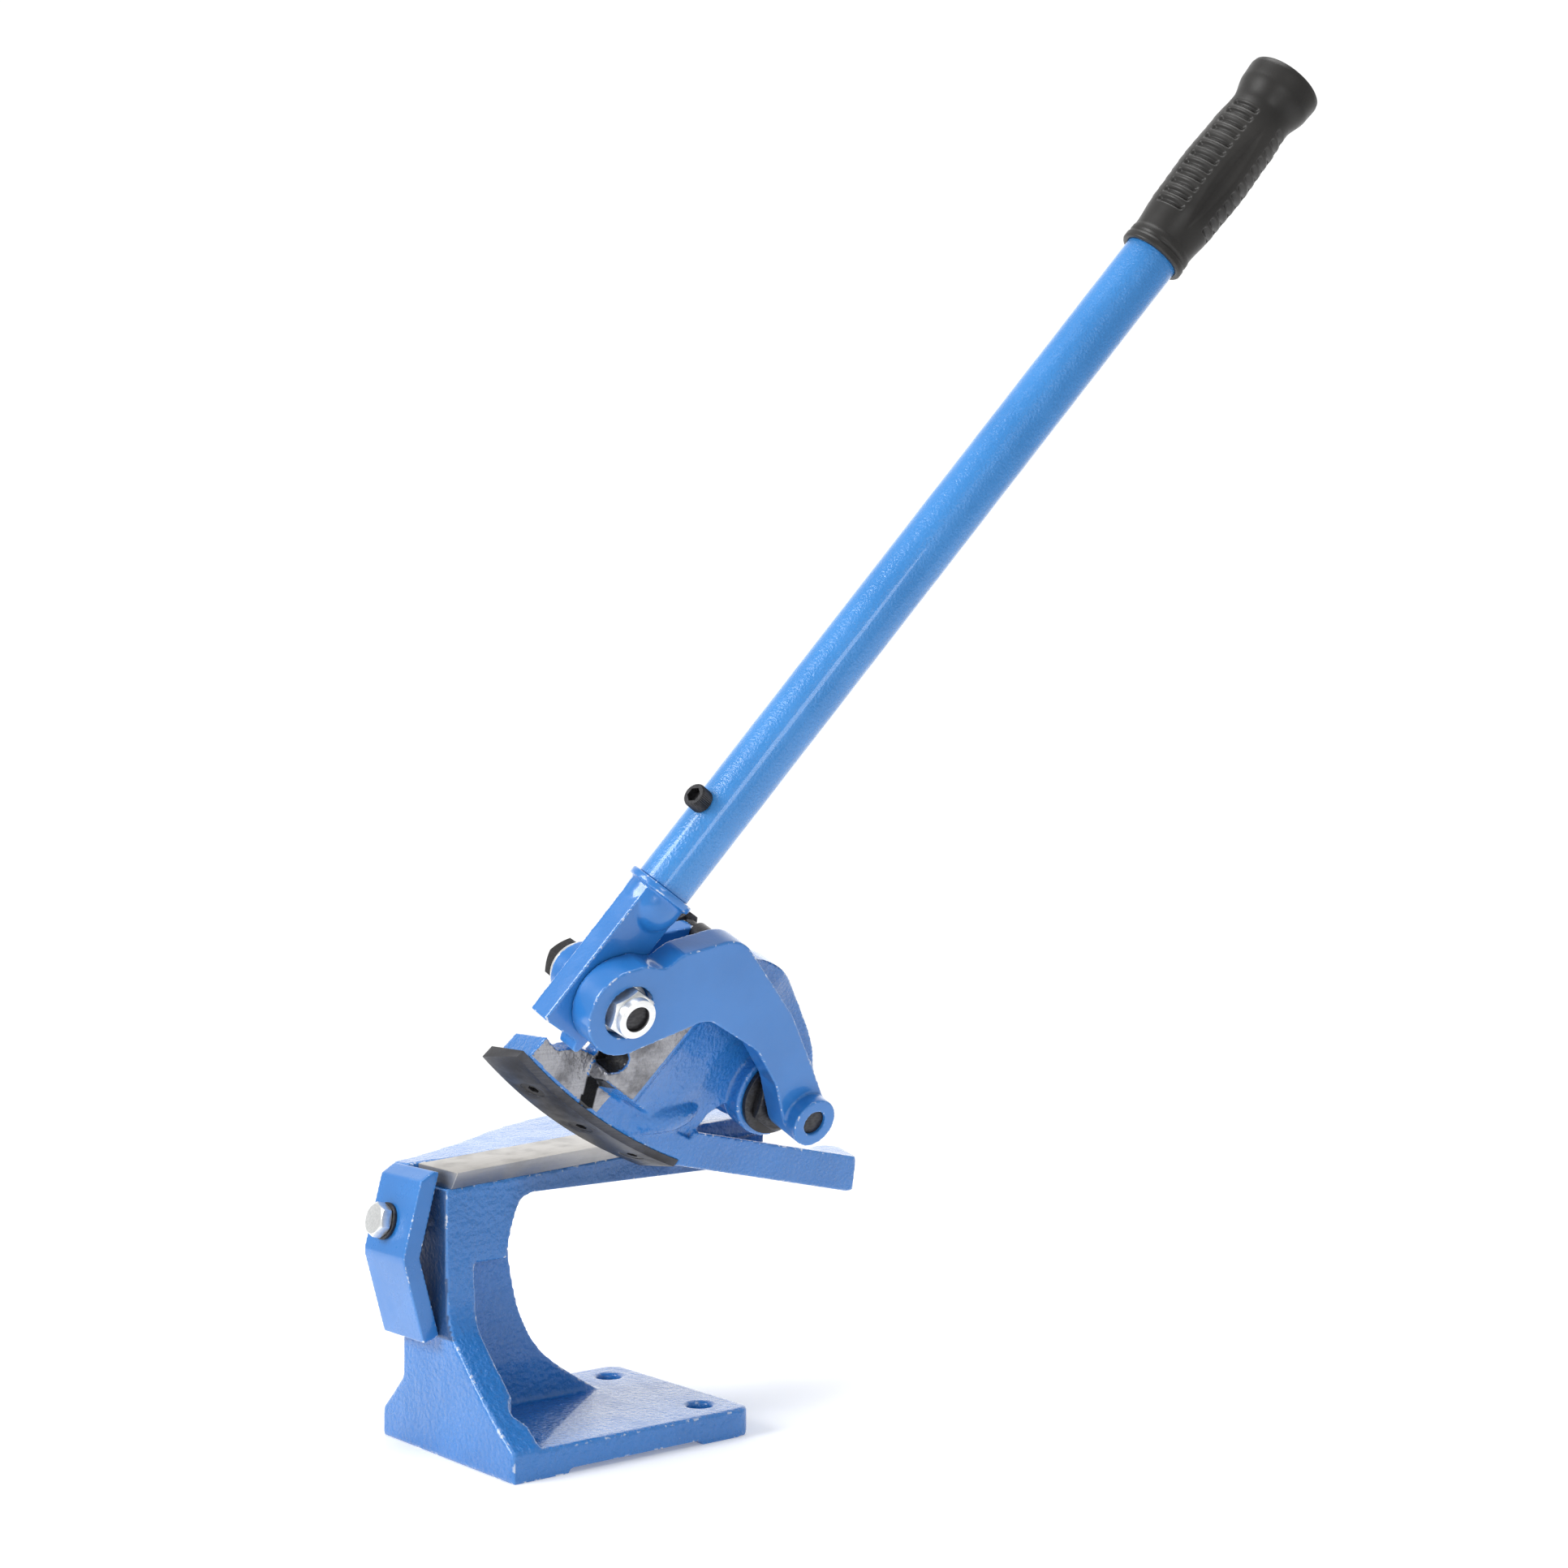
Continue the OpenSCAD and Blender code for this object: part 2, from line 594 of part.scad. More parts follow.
// Tail bar: straight from the blade seat, its end flared to the far side in plan
function on_curve(r, a) = [upper_axis_y + r * sin(a), upper_axis_z - r * cos(a)];
module tail_bar() {
  end_y = tail_end_y + 50;
  intersection() {
    translate([ring_x, 0, 0]) rotate([90, 0, 90]) linear_extrude(ring_w)
      polygon([on_curve(sole_r - 4, seat_a), on_curve(blade_back_r + 3, seat_a),
        [tail_end_y, tail_end_z - tail_t], [end_y, tail_end_z - tail_t],
        [end_y, tail_end_z], [tail_end_y, tail_end_z]]);
    union() {
      blade_slice();
      tilted() translate([-far / 2, tail_end_y - 33, -far / 2]) cube([far / 2 + 1, far, far]);
    }
    linear_extrude(far) offset(r = tail_corner_r) offset(delta = -tail_corner_r)
      polygon([[tail_near_x, tail_end_y], [tail_near_x + 36, 0], [edge_x - 40, 0], [edge_x - 2, tail_end_y - 33],
        [edge_x - 40, tail_end_y + 32]]);
  }
}
module head() color(paint) difference() {
  union() {
    intersection() {
      curve_ring(sole_r, blade_back_r, sole_front_a, seat_a + 1);
      blade_slice();
    }
    tail_bar();
    head_body();
    tilted() axle(pivot, hub_s, hub_s + hub_t, 2 * hub_r);
  }
  tilted() axle(pivot, hub_s - 1, rack_end_s + 1, pivot_d + 2 * fit);
  tilted() axle(pivot, hub_s + hub_t, rack_end_s + 30, pivot_washer_d + 3);
  blade_screws(2 * fit, 0.3);
}

// Upper blade: a curved bar under the sole, held by flat head screws
module blade_screws(play, deep) for (i = [0 : blade_screw_count - 1]) {
  a = blade_screw_a(i);
  mid_s = (blade_gap + rack_s) / 2;
  up = (upper_axis_z - upper_r * cos(a) - edge_z + mid_s * sin(tilt)) / cos(tilt);
  translate([edge_x + mid_s * cos(tilt) + up * sin(tilt), upper_axis_y, upper_axis_z])
    rotate([a, 0, 0]) translate([0, 0, -upper_r]) {
      cylinder(h = upper_t + sole_t - 2 + deep, d = blade_screw_d + play);
      translate([0, 0, blade_screw_land - 2]) cylinder(h = 2, d = blade_screw_head_d + play);
      translate([0, 0, blade_screw_land])
        cylinder(h = 4.2, d1 = blade_screw_head_d + play, d2 = blade_screw_d + play);
    }
}
module upper_blade() color(dark_steel) difference() {
  intersection() {
    curve_ring(blade_back_r, upper_r, upper_front_a, upper_rear_a);
    blade_slice();
  }
  blade_screws(2 * fit, 0.3);
}
module upper_blade_screws() color(black_steel) difference() {
  blade_screws(0, 0);
  curve_ring(upper_r, upper_r + 40, -75, 30);
}

// Links: a thick arched near link and a plainer far link, tied together
module link_shape(points, radii, fillet) offset(r = -fillet) offset(r = fillet)
  for (i = [0 : len(points) - 2]) hull() {
    translate(points[i]) circle(radii[i]);
    translate(points[i + 1]) circle(radii[i + 1]);
  }
module near_link() color(paint) tilted() difference() {
  union() {
    slab(near_link_s, near_face_s)
      link_shape([lever_pivot, near_knee, near_shin, near_ankle, pivot],
        [near_eye_r, near_knee_r, near_shin_r, near_ankle_r, near_boss_r], link_fillet);
    axle(pivot, near_link_s, near_link_s + near_boss_l, 2 * near_boss_r);
  }
  axle(lever_pivot, near_link_s - 1, near_face_s + 1, lever_bolt_d + 2 * fit);
  axle(lever_pivot, sink_s, near_face_s + 1, lever_washer_d + 1);
  axle(pivot, near_link_s - 1, near_link_s + near_boss_l + 1, spigot_d + 2 * fit);
  axle(link_tie_at, near_link_s - 1, near_link_s + 10, 8 + 2 * fit);
}
module far_link() color(paint) tilted() difference() {
  slab(far_link_s, far_link_s + far_link_t)
    link_shape([lever_pivot, far_knee, far_shin, pivot], [far_eye_r, far_knee_r, far_shin_r, far_boss_r], link_fillet);
  axle(lever_pivot, far_link_s - 1, far_link_s + far_link_t + 1, lever_bolt_d + 2 * fit);
  axle(pivot, far_link_s - 1, far_link_s + far_link_t + 1, pivot_d + 2 * fit);
  axle(link_tie_at, far_link_s - 1, far_link_s + far_link_t + 1, 8 + 2 * fit);
}
module link_tie() color(black_steel) tilted() {
  axle(link_tie_at, far_link_s + far_link_t, near_link_s, tie_d);
  axle(link_tie_at, far_link_s, near_link_s + 10, 8);
  hex_bar(link_tie_at, far_link_s - 5, far_link_s, 13);
}

// Lever bolt with its spacer, washers and lock nut
bolt_head_s = far_link_s - lever_washer_t;
nut_s = sink_s + lever_washer_t;
module lever_bolt() color(black_steel) tilted() {
  hex_bar(lever_pivot, bolt_head_s - 9, bolt_head_s, lever_bolt_af);
  axle(lever_pivot, bolt_head_s, nut_s + lock_nut_t - 2, lever_bolt_d);
}
module lever_spacer() color(dark_steel) tilted() difference() {
  axle(lever_pivot, far_link_s + far_link_t, lever_s - blade_gap, spacer_d);
  axle(lever_pivot, far_link_s, lever_s, lever_bolt_d + 2 * fit);
}
module lever_washers() color(zinc) tilted() for (s = [bolt_head_s, sink_s]) difference() {
  axle(lever_pivot, s, s + lever_washer_t, lever_washer_d);
  axle(lever_pivot, s - 1, s + lever_washer_t + 1, lever_bolt_d + 2 * fit);
}
module lock_nut() color(zinc) tilted() difference() {
  union() {
    hex_bar(lever_pivot, nut_s, nut_s + lock_nut_t - 4, lock_nut_af);
    axle(lever_pivot, nut_s, nut_s + lock_nut_t, lock_collar_d);
  }
  axle(lever_pivot, nut_s - 1, nut_s + lock_nut_t + 1, lever_bolt_d + 2 * fit);
  axle(lever_pivot, nut_s + lock_nut_t - 4, nut_s + lock_nut_t - 1, lever_bolt_d + 3);
}
module lock_ring() color(black_steel) tilted() difference() {
  axle(lever_pivot, nut_s + lock_nut_t - 4, nut_s + lock_nut_t - 1, lever_bolt_d + 3 - 2 * fit);
  axle(lever_pivot, nut_s, nut_s + lock_nut_t, lever_bolt_d + 2 * fit);
}

// Lever: a flat toothed end with a socket boss, collar and spigot for the pipe.
// Its own frame has X along the handle, Y to the front and Z along the hinge.
module lever_frame() tilted()
  translate([lever_mid_s, lever_pivot[0], lever_pivot[1]]) rotate([90, 0, 90])
    rotate([0, 0, handle_dir]) children();
module handle_axis() lever_frame() translate([0, handle_offset, 0]) rotate([0, 90, 0]) children();
module lever_tooth() polygon([[lever_root_r - 3, -5], [lever_tip_r - 2, -2.5],
  [lever_tip_r, -1.3], [lever_tip_r, 1.3], [lever_tip_r - 2, 2.5], [lever_root_r - 3, 5]]);
module lever_outline() {
  circle(lever_root_r);
  translate([-nose_l, handle_offset - lever_w / 2]) square([nose_l + collar_at - 2, lever_w]);
  for (i = [0 : 3])
    rotate(centre_dir + 180 - tooth_phase * head_teeth / lever_teeth - i * lever_step - handle_dir) lever_tooth();
}
module lever() color(paint) difference() {
  union() {
    lever_frame() translate([0, 0, -lever_t / 2]) linear_extrude(lever_t) lever_outline();
    handle_axis() {
      translate([0, 0, collar_at - socket_l]) cylinder(h = socket_l, d = socket_d);
      rotate_extrude() intersection() {
        translate([0, collar_at - socket_l]) circle(d = socket_d);
        translate([0, collar_at - socket_l - socket_d]) square([socket_d, socket_d + 1]);
      }
      translate([0, 0, collar_at - collar_t]) cylinder(h = collar_t, d = collar_d);
      translate([0, 0, collar_at - collar_t])
        cylinder(h = collar_t + handle_spigot_l, d = pipe_d - 2 * pipe_wall - 2 * fit);
    }
  }
  lever_frame() translate([0, 0, -far / 2]) cylinder(h = far, d = lever_bolt_d + 2 * bush_wall + 2 * fit);
  handle_axis() translate([0, pipe_d / 2 - handle_screw_l - 1, collar_at + handle_screw_at])
    rotate([-90, 0, 0]) cylinder(h = handle_screw_l + 2, d = handle_screw_d + 2 * fit);
}
module lever_bush() color(bronze) lever_frame() translate([0, 0, -lever_t / 2]) difference() {
  cylinder(h = lever_t, d = lever_bolt_d + 2 * bush_wall);
  translate([0, 0, -1]) cylinder(h = lever_t + 2, d = lever_bolt_d + 2 * fit);
}

// Handle: pipe, cap screw and moulded grip
module handle_pipe() color(paint) handle_axis() translate([0, 0, collar_at]) difference() {
  cylinder(h = pipe_l, d = pipe_d);
  translate([0, 0, -1]) cylinder(h = pipe_l + 2, d = pipe_d - 2 * pipe_wall);
  translate([0, 0, handle_screw_at]) rotate([-90, 0, 0]) cylinder(h = pipe_d, d = handle_screw_d + 2 * fit);
}
module handle_screw() color(black_steel) handle_axis()
  translate([0, pipe_d / 2, collar_at + handle_screw_at]) rotate([-90, 0, 0]) difference() {
    union() {
      translate([0, 0, -handle_screw_l]) cylinder(h = handle_screw_l + 1, d = handle_screw_d);
      cylinder(h = handle_screw_d, d = 1.625 * handle_screw_d);
    }
    translate([0, 0, handle_screw_d / 2]) cylinder(h = handle_screw_d, d = 0.92 * handle_screw_d, $fn = 6);
  }
module grip() color(rubber) handle_axis() translate([0, 0, collar_at + grip_at]) {
  r0 = pipe_d / 2;
  difference() {
    rotate_extrude() polygon(concat([[0, 0], [r0 + 3.2, 0], [r0 + 3.2, 4], [r0 + 2.4, 5.5]],
      smooth([[r0 + 2.4, 6], [r0 + 3.4, 30], [r0 + 3.8, 55], [r0 + grip_wall + 0.2, 88],
        [r0 + grip_wall, 98], [grip_end_d / 2 - 0.6, 112], [grip_end_d / 2, grip_l - 3]]),
      [[grip_end_d / 2 - 1.5, grip_l], [0, grip_l]]));
    translate([0, 0, -1]) cylinder(h = pipe_l - grip_at + 1 + blade_gap, d = pipe_d + 2 * fit);
  }
}

frame();
lower_blade();
clamp_plate();
clamp_bolt();
clamp_washer();
pivot_bolt();
pivot_washer();
pivot_nut();
head();
upper_blade();
upper_blade_screws();
near_link();
far_link();
link_tie();
lever_bolt();
lever_spacer();
lever_washers();
lock_nut();
lock_ring();
lever();
lever_bush();
handle_pipe();
handle_screw();
grip();
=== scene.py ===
import json
import math
import bmesh
import bpy
from mathutils import Matrix, Vector

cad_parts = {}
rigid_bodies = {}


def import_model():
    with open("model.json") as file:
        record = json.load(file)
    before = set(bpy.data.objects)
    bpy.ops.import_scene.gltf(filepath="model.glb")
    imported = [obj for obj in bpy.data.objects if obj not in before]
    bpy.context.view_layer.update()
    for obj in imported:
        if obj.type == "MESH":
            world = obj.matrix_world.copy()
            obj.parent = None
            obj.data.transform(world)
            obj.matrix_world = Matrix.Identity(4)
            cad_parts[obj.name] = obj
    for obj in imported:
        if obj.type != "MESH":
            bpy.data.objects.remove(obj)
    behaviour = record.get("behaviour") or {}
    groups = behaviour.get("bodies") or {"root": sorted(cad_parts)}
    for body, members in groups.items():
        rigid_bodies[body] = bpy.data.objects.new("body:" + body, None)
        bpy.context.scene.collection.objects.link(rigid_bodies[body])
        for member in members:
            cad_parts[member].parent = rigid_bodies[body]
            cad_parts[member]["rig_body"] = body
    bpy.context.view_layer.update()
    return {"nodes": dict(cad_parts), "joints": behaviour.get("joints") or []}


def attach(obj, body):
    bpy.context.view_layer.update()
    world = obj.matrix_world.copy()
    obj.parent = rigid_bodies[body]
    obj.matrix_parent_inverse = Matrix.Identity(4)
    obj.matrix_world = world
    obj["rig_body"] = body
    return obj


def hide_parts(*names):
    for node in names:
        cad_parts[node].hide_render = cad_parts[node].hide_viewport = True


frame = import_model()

# Studio: a pale paper floor in white air, a broad key light from the clamp side, a soft
# light overhead and a small one behind the camera. The air lights less from behind the
# camera and shows white.
scene = bpy.context.scene
scene.view_settings.view_transform = "Standard"
scene.view_settings.look = "None"


def place(tree, kind, sockets=None, **settings):
    """Adds a shader node; a socket value may be a number, a colour or another node's output."""
    node = tree.nodes.new("ShaderNode" + kind)
    for name, value in settings.items():
        setattr(node, name, value)
    for name, value in (sockets or {}).items():
        if isinstance(value, bpy.types.NodeSocket):
            tree.links.new(value, node.inputs[name])
        else:
            node.inputs[name].default_value = value
    return node


def between(tree, value, low, high):
    """Runs smoothly from 0 to 1 as the value goes from low to high."""
    sockets = {"Value": value, "From Min": low, "From Max": high}
    return place(tree, "MapRange", sockets, interpolation_type="SMOOTHSTEP").outputs["Result"]


def mixed(tree, factor, first, second):
    """A colour that goes from the first to the second as the factor rises."""
    return place(tree, "Mix", {0: factor, 6: first, 7: second}, data_type="RGBA").outputs[2]


def maths(tree, first, second, operation="ADD"):
    """The sum of two values, or what another operation makes of them."""
    return place(tree, "Math", {0: first, 1: second}, operation=operation).outputs[0]


def scaled(tree, value, scale):
    """The product of a value and a scale, which may be another value."""
    return maths(tree, value, scale, "MULTIPLY")


camera_side = Vector((0.77, -0.638, 0.0))
air_power = 5.0
air_behind_object = 1.7
air_behind_camera = 0.46
air_shown = 1.05
world = bpy.data.worlds.new("studio_air")
world.use_nodes = True
air = world.node_tree
air_way = place(air, "TexCoord").outputs["Generated"]
air_turn = place(air, "VectorMath", {0: air_way, 1: camera_side}, operation="DOT_PRODUCT").outputs["Value"]
air_away = place(air, "MapRange", {"Value": air_turn, "From Min": 1.0, "From Max": -1.0}).outputs["Result"]
air_away = maths(air, air_away, air_power, "POWER")
air_light = place(air, "MapRange", {"Value": air_away, "To Min": air_behind_camera,
                                    "To Max": air_behind_object})
air_seen = place(air, "LightPath").outputs["Is Camera Ray"]
air_strength = place(air, "MapRange", {"Value": air_seen, "To Min": air_light.outputs["Result"],
                                       "To Max": air_shown})
air.links.new(air_strength.outputs["Result"], air.nodes["Background"].inputs["Strength"])
air.nodes["Background"].inputs["Color"].default_value = (1.0, 1.0, 1.0, 1.0)
scene.world = world


def object_from(name, mesh_work):
    """Turns a finished bmesh into an object at the origin."""
    data = bpy.data.meshes.new(name)
    mesh_work.to_mesh(data)
    mesh_work.free()
    piece = bpy.data.objects.new(name, data)
    scene.collection.objects.link(piece)
    return piece


floor_radius = 1.3
floor_mesh = bmesh.new()
bmesh.ops.create_circle(floor_mesh, cap_ends=True, radius=floor_radius, segments=96)
floor = object_from("studio_floor", floor_mesh)
floor_paper = bpy.data.materials.new("floor_paper")
floor_paper.use_nodes = True
paper = floor_paper.node_tree
paper_grain = place(paper, "TexNoise", {"Vector": place(paper, "TexCoord").outputs["Object"], "Scale": 3.0})
paper_tone = mixed(paper, paper_grain.outputs["Fac"], (0.93, 0.935, 0.945, 1.0), (0.96, 0.96, 0.96, 1.0))
paper_inputs = paper.nodes["Principled BSDF"].inputs
paper.links.new(paper_tone, paper_inputs["Base Color"])
paper_inputs["Roughness"].default_value = 0.9
paper_inputs["Emission Color"].default_value = (1.0, 1.0, 1.0, 1.0)
paper_inputs["Emission Strength"].default_value = 0.18
paper_inputs["Specular IOR Level"].default_value = 0.1
floor.data.materials.append(floor_paper)


def soft_light(name, spot, target, size, watts):
    """A round soft light that looks at the target."""
    lamp = bpy.data.lights.new(name, "AREA")
    lamp.shape = "DISK"
    lamp.size = size
    lamp.energy = watts
    holder = bpy.data.objects.new(name, lamp)
    holder.location = spot
    holder.rotation_euler = (Vector(target) - Vector(spot)).to_track_quat("-Z", "Y").to_euler()
    scene.collection.objects.link(holder)


work_height = (0.05, 0.05, 0.25)
soft_light("key_light", (-0.5, -2.2, 1.5), work_height, 1.2, 48.0)
soft_light("top_light", (0.3, 0.1, 2.4), work_height, 1.4, 22.0)
soft_light("side_light", (1.9, -1.0, 0.6), (0.1, 0.1, 0.4), 0.6, 6.0)

# Camera: level with the middle of the shear and turned a little over 50 degrees to the
# near side, with the lens that the photo's upright and base edges agree on.
photo_pixels = 1932
focal_pixels = 3056.5
camera_spot = (1.1313, -0.7826, 0.3595)
camera_tilt = math.radians(89.99)
camera_turn = math.radians(50.346)
camera_data = bpy.data.cameras.new("photo_camera")
camera_data.sensor_width = 36.0
camera_data.lens = camera_data.sensor_width * focal_pixels / photo_pixels
camera = bpy.data.objects.new("photo_camera", camera_data)
camera.location = camera_spot
camera.rotation_euler = (camera_tilt, 0.0, camera_turn)
scene.collection.objects.link(camera)
scene.camera = camera

# Frame: one iron casting with the base plate, the column, the arm with its work table and
# the cheek of the main pivot. It is fettled, primed and sprayed with blue enamel.
millimetre = 0.001


def merged_copy(node):
    """A bmesh of a CAD node with its loose triangles joined up."""
    work = bmesh.new()
    work.from_mesh(frame["nodes"][node].data)
    bmesh.ops.remove_doubles(work, verts=work.verts, dist=0.001 * millimetre)
    return work


def baked(piece):
    """Settles a piece's modifiers into its mesh."""
    bpy.context.view_layer.update()
    settled = piece.evaluated_get(bpy.context.evaluated_depsgraph_get())
    data = bpy.data.meshes.new_from_object(settled)
    piece.modifiers.clear()
    piece.data = data
    return piece


def casting_copy(name, work, skin, rounding):
    """A piece from a bmesh, with the softened edges and corners of a casting."""
    piece = object_from(name, work)
    remesh = piece.modifiers.new("cast_skin", "REMESH")
    remesh.mode = "VOXEL"
    remesh.voxel_size = skin * millimetre
    remesh.use_smooth_shade = True
    soften = piece.modifiers.new("rounded_edges", "SMOOTH")
    soften.factor = 0.5
    soften.iterations = rounding
    return baked(piece)


def fit(piece, node, material):
    """Puts a finished piece in the place of a CAD node, on the body that the node is on."""
    piece.data.materials.clear()
    piece.data.materials.append(material)
    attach(piece, frame["nodes"][node]["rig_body"])
    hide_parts(node)


def new_group(name, inputs, outputs):
    """An empty shader node group with number inputs and outputs, and its two end nodes."""
    tree = bpy.data.node_groups.new(name, "ShaderNodeTree")
    for label, value in inputs.items():
        tree.interface.new_socket(label, in_out="INPUT", socket_type="NodeSocketFloat").default_value = value
    for label in outputs:
        tree.interface.new_socket(label, in_out="OUTPUT", socket_type="NodeSocketFloat")
    return tree, tree.nodes.new("NodeGroupInput").outputs, tree.nodes.new("NodeGroupOutput").inputs


# Sand skin under paint: a fine grain, a slow unevenness and a drift of tone
cast_skin, skin_in, skin_out = new_group("cast_skin", {"Grain": 500.0}, ("Height", "Tone", "Haze"))
skin_place = place(cast_skin, "TexCoord").outputs["Object"]
skin_fine = place(cast_skin, "TexNoise", {"Vector": skin_place, "Scale": skin_in["Grain"], "Detail": 3.0})
skin_slow_scale = scaled(cast_skin, skin_in["Grain"], 0.16)
skin_slow = place(cast_skin, "TexNoise", {"Vector": skin_place, "Scale": skin_slow_scale, "Detail": 2.0})
skin_drift = place(cast_skin, "TexNoise", {"Vector": skin_place, "Scale": 22.0, "Detail": 4.0})
skin_haze = place(cast_skin, "TexNoise", {"Vector": skin_place, "Scale": 60.0, "Detail": 5.0,
                                          "Roughness": 0.65})
cast_skin.links.new(maths(cast_skin, skin_fine.outputs["Fac"], skin_slow.outputs["Fac"]), skin_out["Height"])
cast_skin.links.new(between(cast_skin, skin_drift.outputs["Fac"], 0.3, 0.7), skin_out["Tone"])
cast_skin.links.new(between(cast_skin, skin_haze.outputs["Fac"], 0.42, 0.72), skin_out["Haze"])

# Edges and creases: where a surface turns sharply outwards, for a painted highlight and for
# broken chips in the paint, and where it turns inwards, for painted shade
edge_wear_and_shading, rub_in, rub_out = new_group(
    "edge_wear_and_shading", {"Chip Size": 300.0, "Spread": 0.58}, ("Edge", "Corner", "Chips"))
rub_place = place(edge_wear_and_shading, "TexCoord").outputs["Object"]
rub_turn = place(edge_wear_and_shading, "NewGeometry").outputs["Pointiness"]
convex_edge = between(edge_wear_and_shading, rub_turn, 0.515, 0.555)
rub_noise = place(edge_wear_and_shading, "TexNoise", {"Vector": rub_place, "Scale": rub_in["Chip Size"], "Detail": 4.0})
rub_spread = maths(edge_wear_and_shading, rub_in["Spread"], 0.05)
rub_spots = between(edge_wear_and_shading, rub_noise.outputs["Fac"], rub_in["Spread"], rub_spread)
edge_wear_and_shading.links.new(convex_edge, rub_out["Edge"])
edge_wear_and_shading.links.new(between(edge_wear_and_shading, rub_turn, 0.485, 0.42), rub_out["Corner"])
edge_wear_and_shading.links.new(scaled(edge_wear_and_shading, convex_edge, rub_spots), rub_out["Chips"])

enamel_deep = (0.018, 0.157, 0.47, 1.0)
enamel_bright = (0.024, 0.180, 0.525, 1.0)
# Painted shade in creases, and a painted highlight on convex edges
enamel_crease_shade = (0.010, 0.060, 0.21, 1.0)
enamel_edge_highlight = (0.11, 0.32, 0.72, 1.0)
undercoat = (0.72, 0.75, 0.78, 1.0)
bare_light = (0.34, 0.34, 0.36, 1.0)
bare_dark = (0.15, 0.15, 0.16, 1.0)
# Nearly black painted shade for the notches between the head's teeth
notch_shade = (0.010, 0.010, 0.011, 1.0)
# Dark blue painted shade for the seat behind the clamp and the arm below the blade
shade_blue = (0.006, 0.018, 0.062, 1.0)
coat = 0.45
coat_rough = 0.07
haze_rough = 0.16
edge_highlight_share = 0.35
bare_ragged = 0.35
bare_rough = 0.12
bare_shine = 0.85
dark_rough = 0.4


def bump_to(tree, height, strength, depth):
    """Feeds a height into the shader's normal, its depth in millimetres."""
    bump = place(tree, "Bump", {"Height": height, "Strength": strength, "Distance": depth * millimetre})
    tree.links.new(bump.outputs["Normal"], tree.nodes["Principled BSDF"].inputs["Normal"])


def enamel(name, grain, depth, gloss, tones, worn_and_shaded=True, bare_faces=None, shade_places=None,
           shade_tone=notch_shade):
    """Sprayed blue enamel; the named attributes mark bare machined iron and places of painted shade."""
    material = bpy.data.materials.new(name)
    material.use_nodes = True
    tree = material.node_tree
    shader = tree.nodes["Principled BSDF"]
    skin = place(tree, "Group", node_tree=cast_skin)
    skin.inputs["Grain"].default_value = grain
    colour = mixed(tree, skin.outputs["Tone"], *tones)
    if worn_and_shaded:
        wear_and_shading = place(tree, "Group", node_tree=edge_wear_and_shading)
        # Creases painted darker as painted shade
        colour = mixed(tree, wear_and_shading.outputs["Corner"], colour, enamel_crease_shade)
        # Convex edges painted lighter as a painted highlight, then broken chips showing the undercoat
        colour = mixed(tree, scaled(tree, wear_and_shading.outputs["Edge"], edge_highlight_share), colour, enamel_edge_highlight)
        colour = mixed(tree, wear_and_shading.outputs["Chips"], colour, undercoat)
    rough = maths(tree, scaled(tree, skin.outputs["Haze"], haze_rough), gloss)
    shader.inputs["Coat Weight"].default_value = coat
    shader.inputs["Coat Roughness"].default_value = coat_rough
    if bare_faces:
        skin_spot = place(tree, "TexCoord").outputs["Object"]
        ragged = place(tree, "TexNoise", {"Vector": skin_spot, "Scale": 420.0})
        mark = place(tree, "Attribute", attribute_name=bare_faces).outputs["Fac"]
        mark = maths(tree, mark, scaled(tree, ragged.outputs["Fac"], bare_ragged))
        bare = between(tree, mark, 0.60, 0.74)
        lines = place(tree, "Group", node_tree=ground_lines)
        lines.inputs["Across"].default_value = 900.0
        lines.inputs["Along"].default_value = 60.0
        iron = mixed(tree, skin.outputs["Haze"], bare_light, bare_dark)
        iron = mixed(tree, scaled(tree, lines.outputs["Streak"], 0.3), iron, bare_dark)
        colour = mixed(tree, bare, colour, iron)
        rough = maths(tree, rough, scaled(tree, bare, bare_rough))
        tree.links.new(scaled(tree, bare, bare_shine), shader.inputs["Metallic"])
        covered = maths(tree, coat, scaled(tree, bare, coat), "SUBTRACT")
        tree.links.new(covered, shader.inputs["Coat Weight"])
    # Painted shade where the attribute marks it
    if shade_places:
        shade_share = place(tree, "Attribute", attribute_name=shade_places).outputs["Fac"]
        colour = mixed(tree, shade_share, colour, shade_tone)
        rough = maths(tree, rough, scaled(tree, shade_share, dark_rough))
    tree.links.new(colour, shader.inputs["Base Color"])
    tree.links.new(rough, shader.inputs["Roughness"])
    bump_to(tree, skin.outputs["Height"], 0.5, depth)
    return material


def eased(value, low, high):
    """Runs smoothly from 0 at low to 1 at high."""
    share = min(max((value - low) / (high - low), 0.0), 1.0)
    return share * share * (3.0 - 2.0 * share)


# Where painted shade darkens the frame, in millimetres, and how much: the seat behind the clamp
# and the side of the arm below the blade
seat_left = -48.0
seat_foot = 64.0
seat_top = 150.0
seat_shade = 0.75
arm_front = -45.0
arm_full = -15.0
arm_foot = 122.0
arm_shade = 0.45
faces_front = -0.7
faces_near = 0.5


def mark_painted_shade(piece, label):
    """Marks on an attribute where shade is painted darker onto the frame."""
    shade_mark = piece.data.attributes.new(label, "FLOAT", "POINT")
    for vertex in piece.data.vertices:
        across, back, up = vertex.co / millimetre
        share = 0.0
        if vertex.normal.y < faces_front and across > seat_left and seat_foot < up < seat_top:
            share = seat_shade
        elif vertex.normal.x > faces_near and arm_foot < up < seat_top:
            share = arm_shade * eased(back, arm_front, arm_full)
        shade_mark.data[vertex.index].value = share


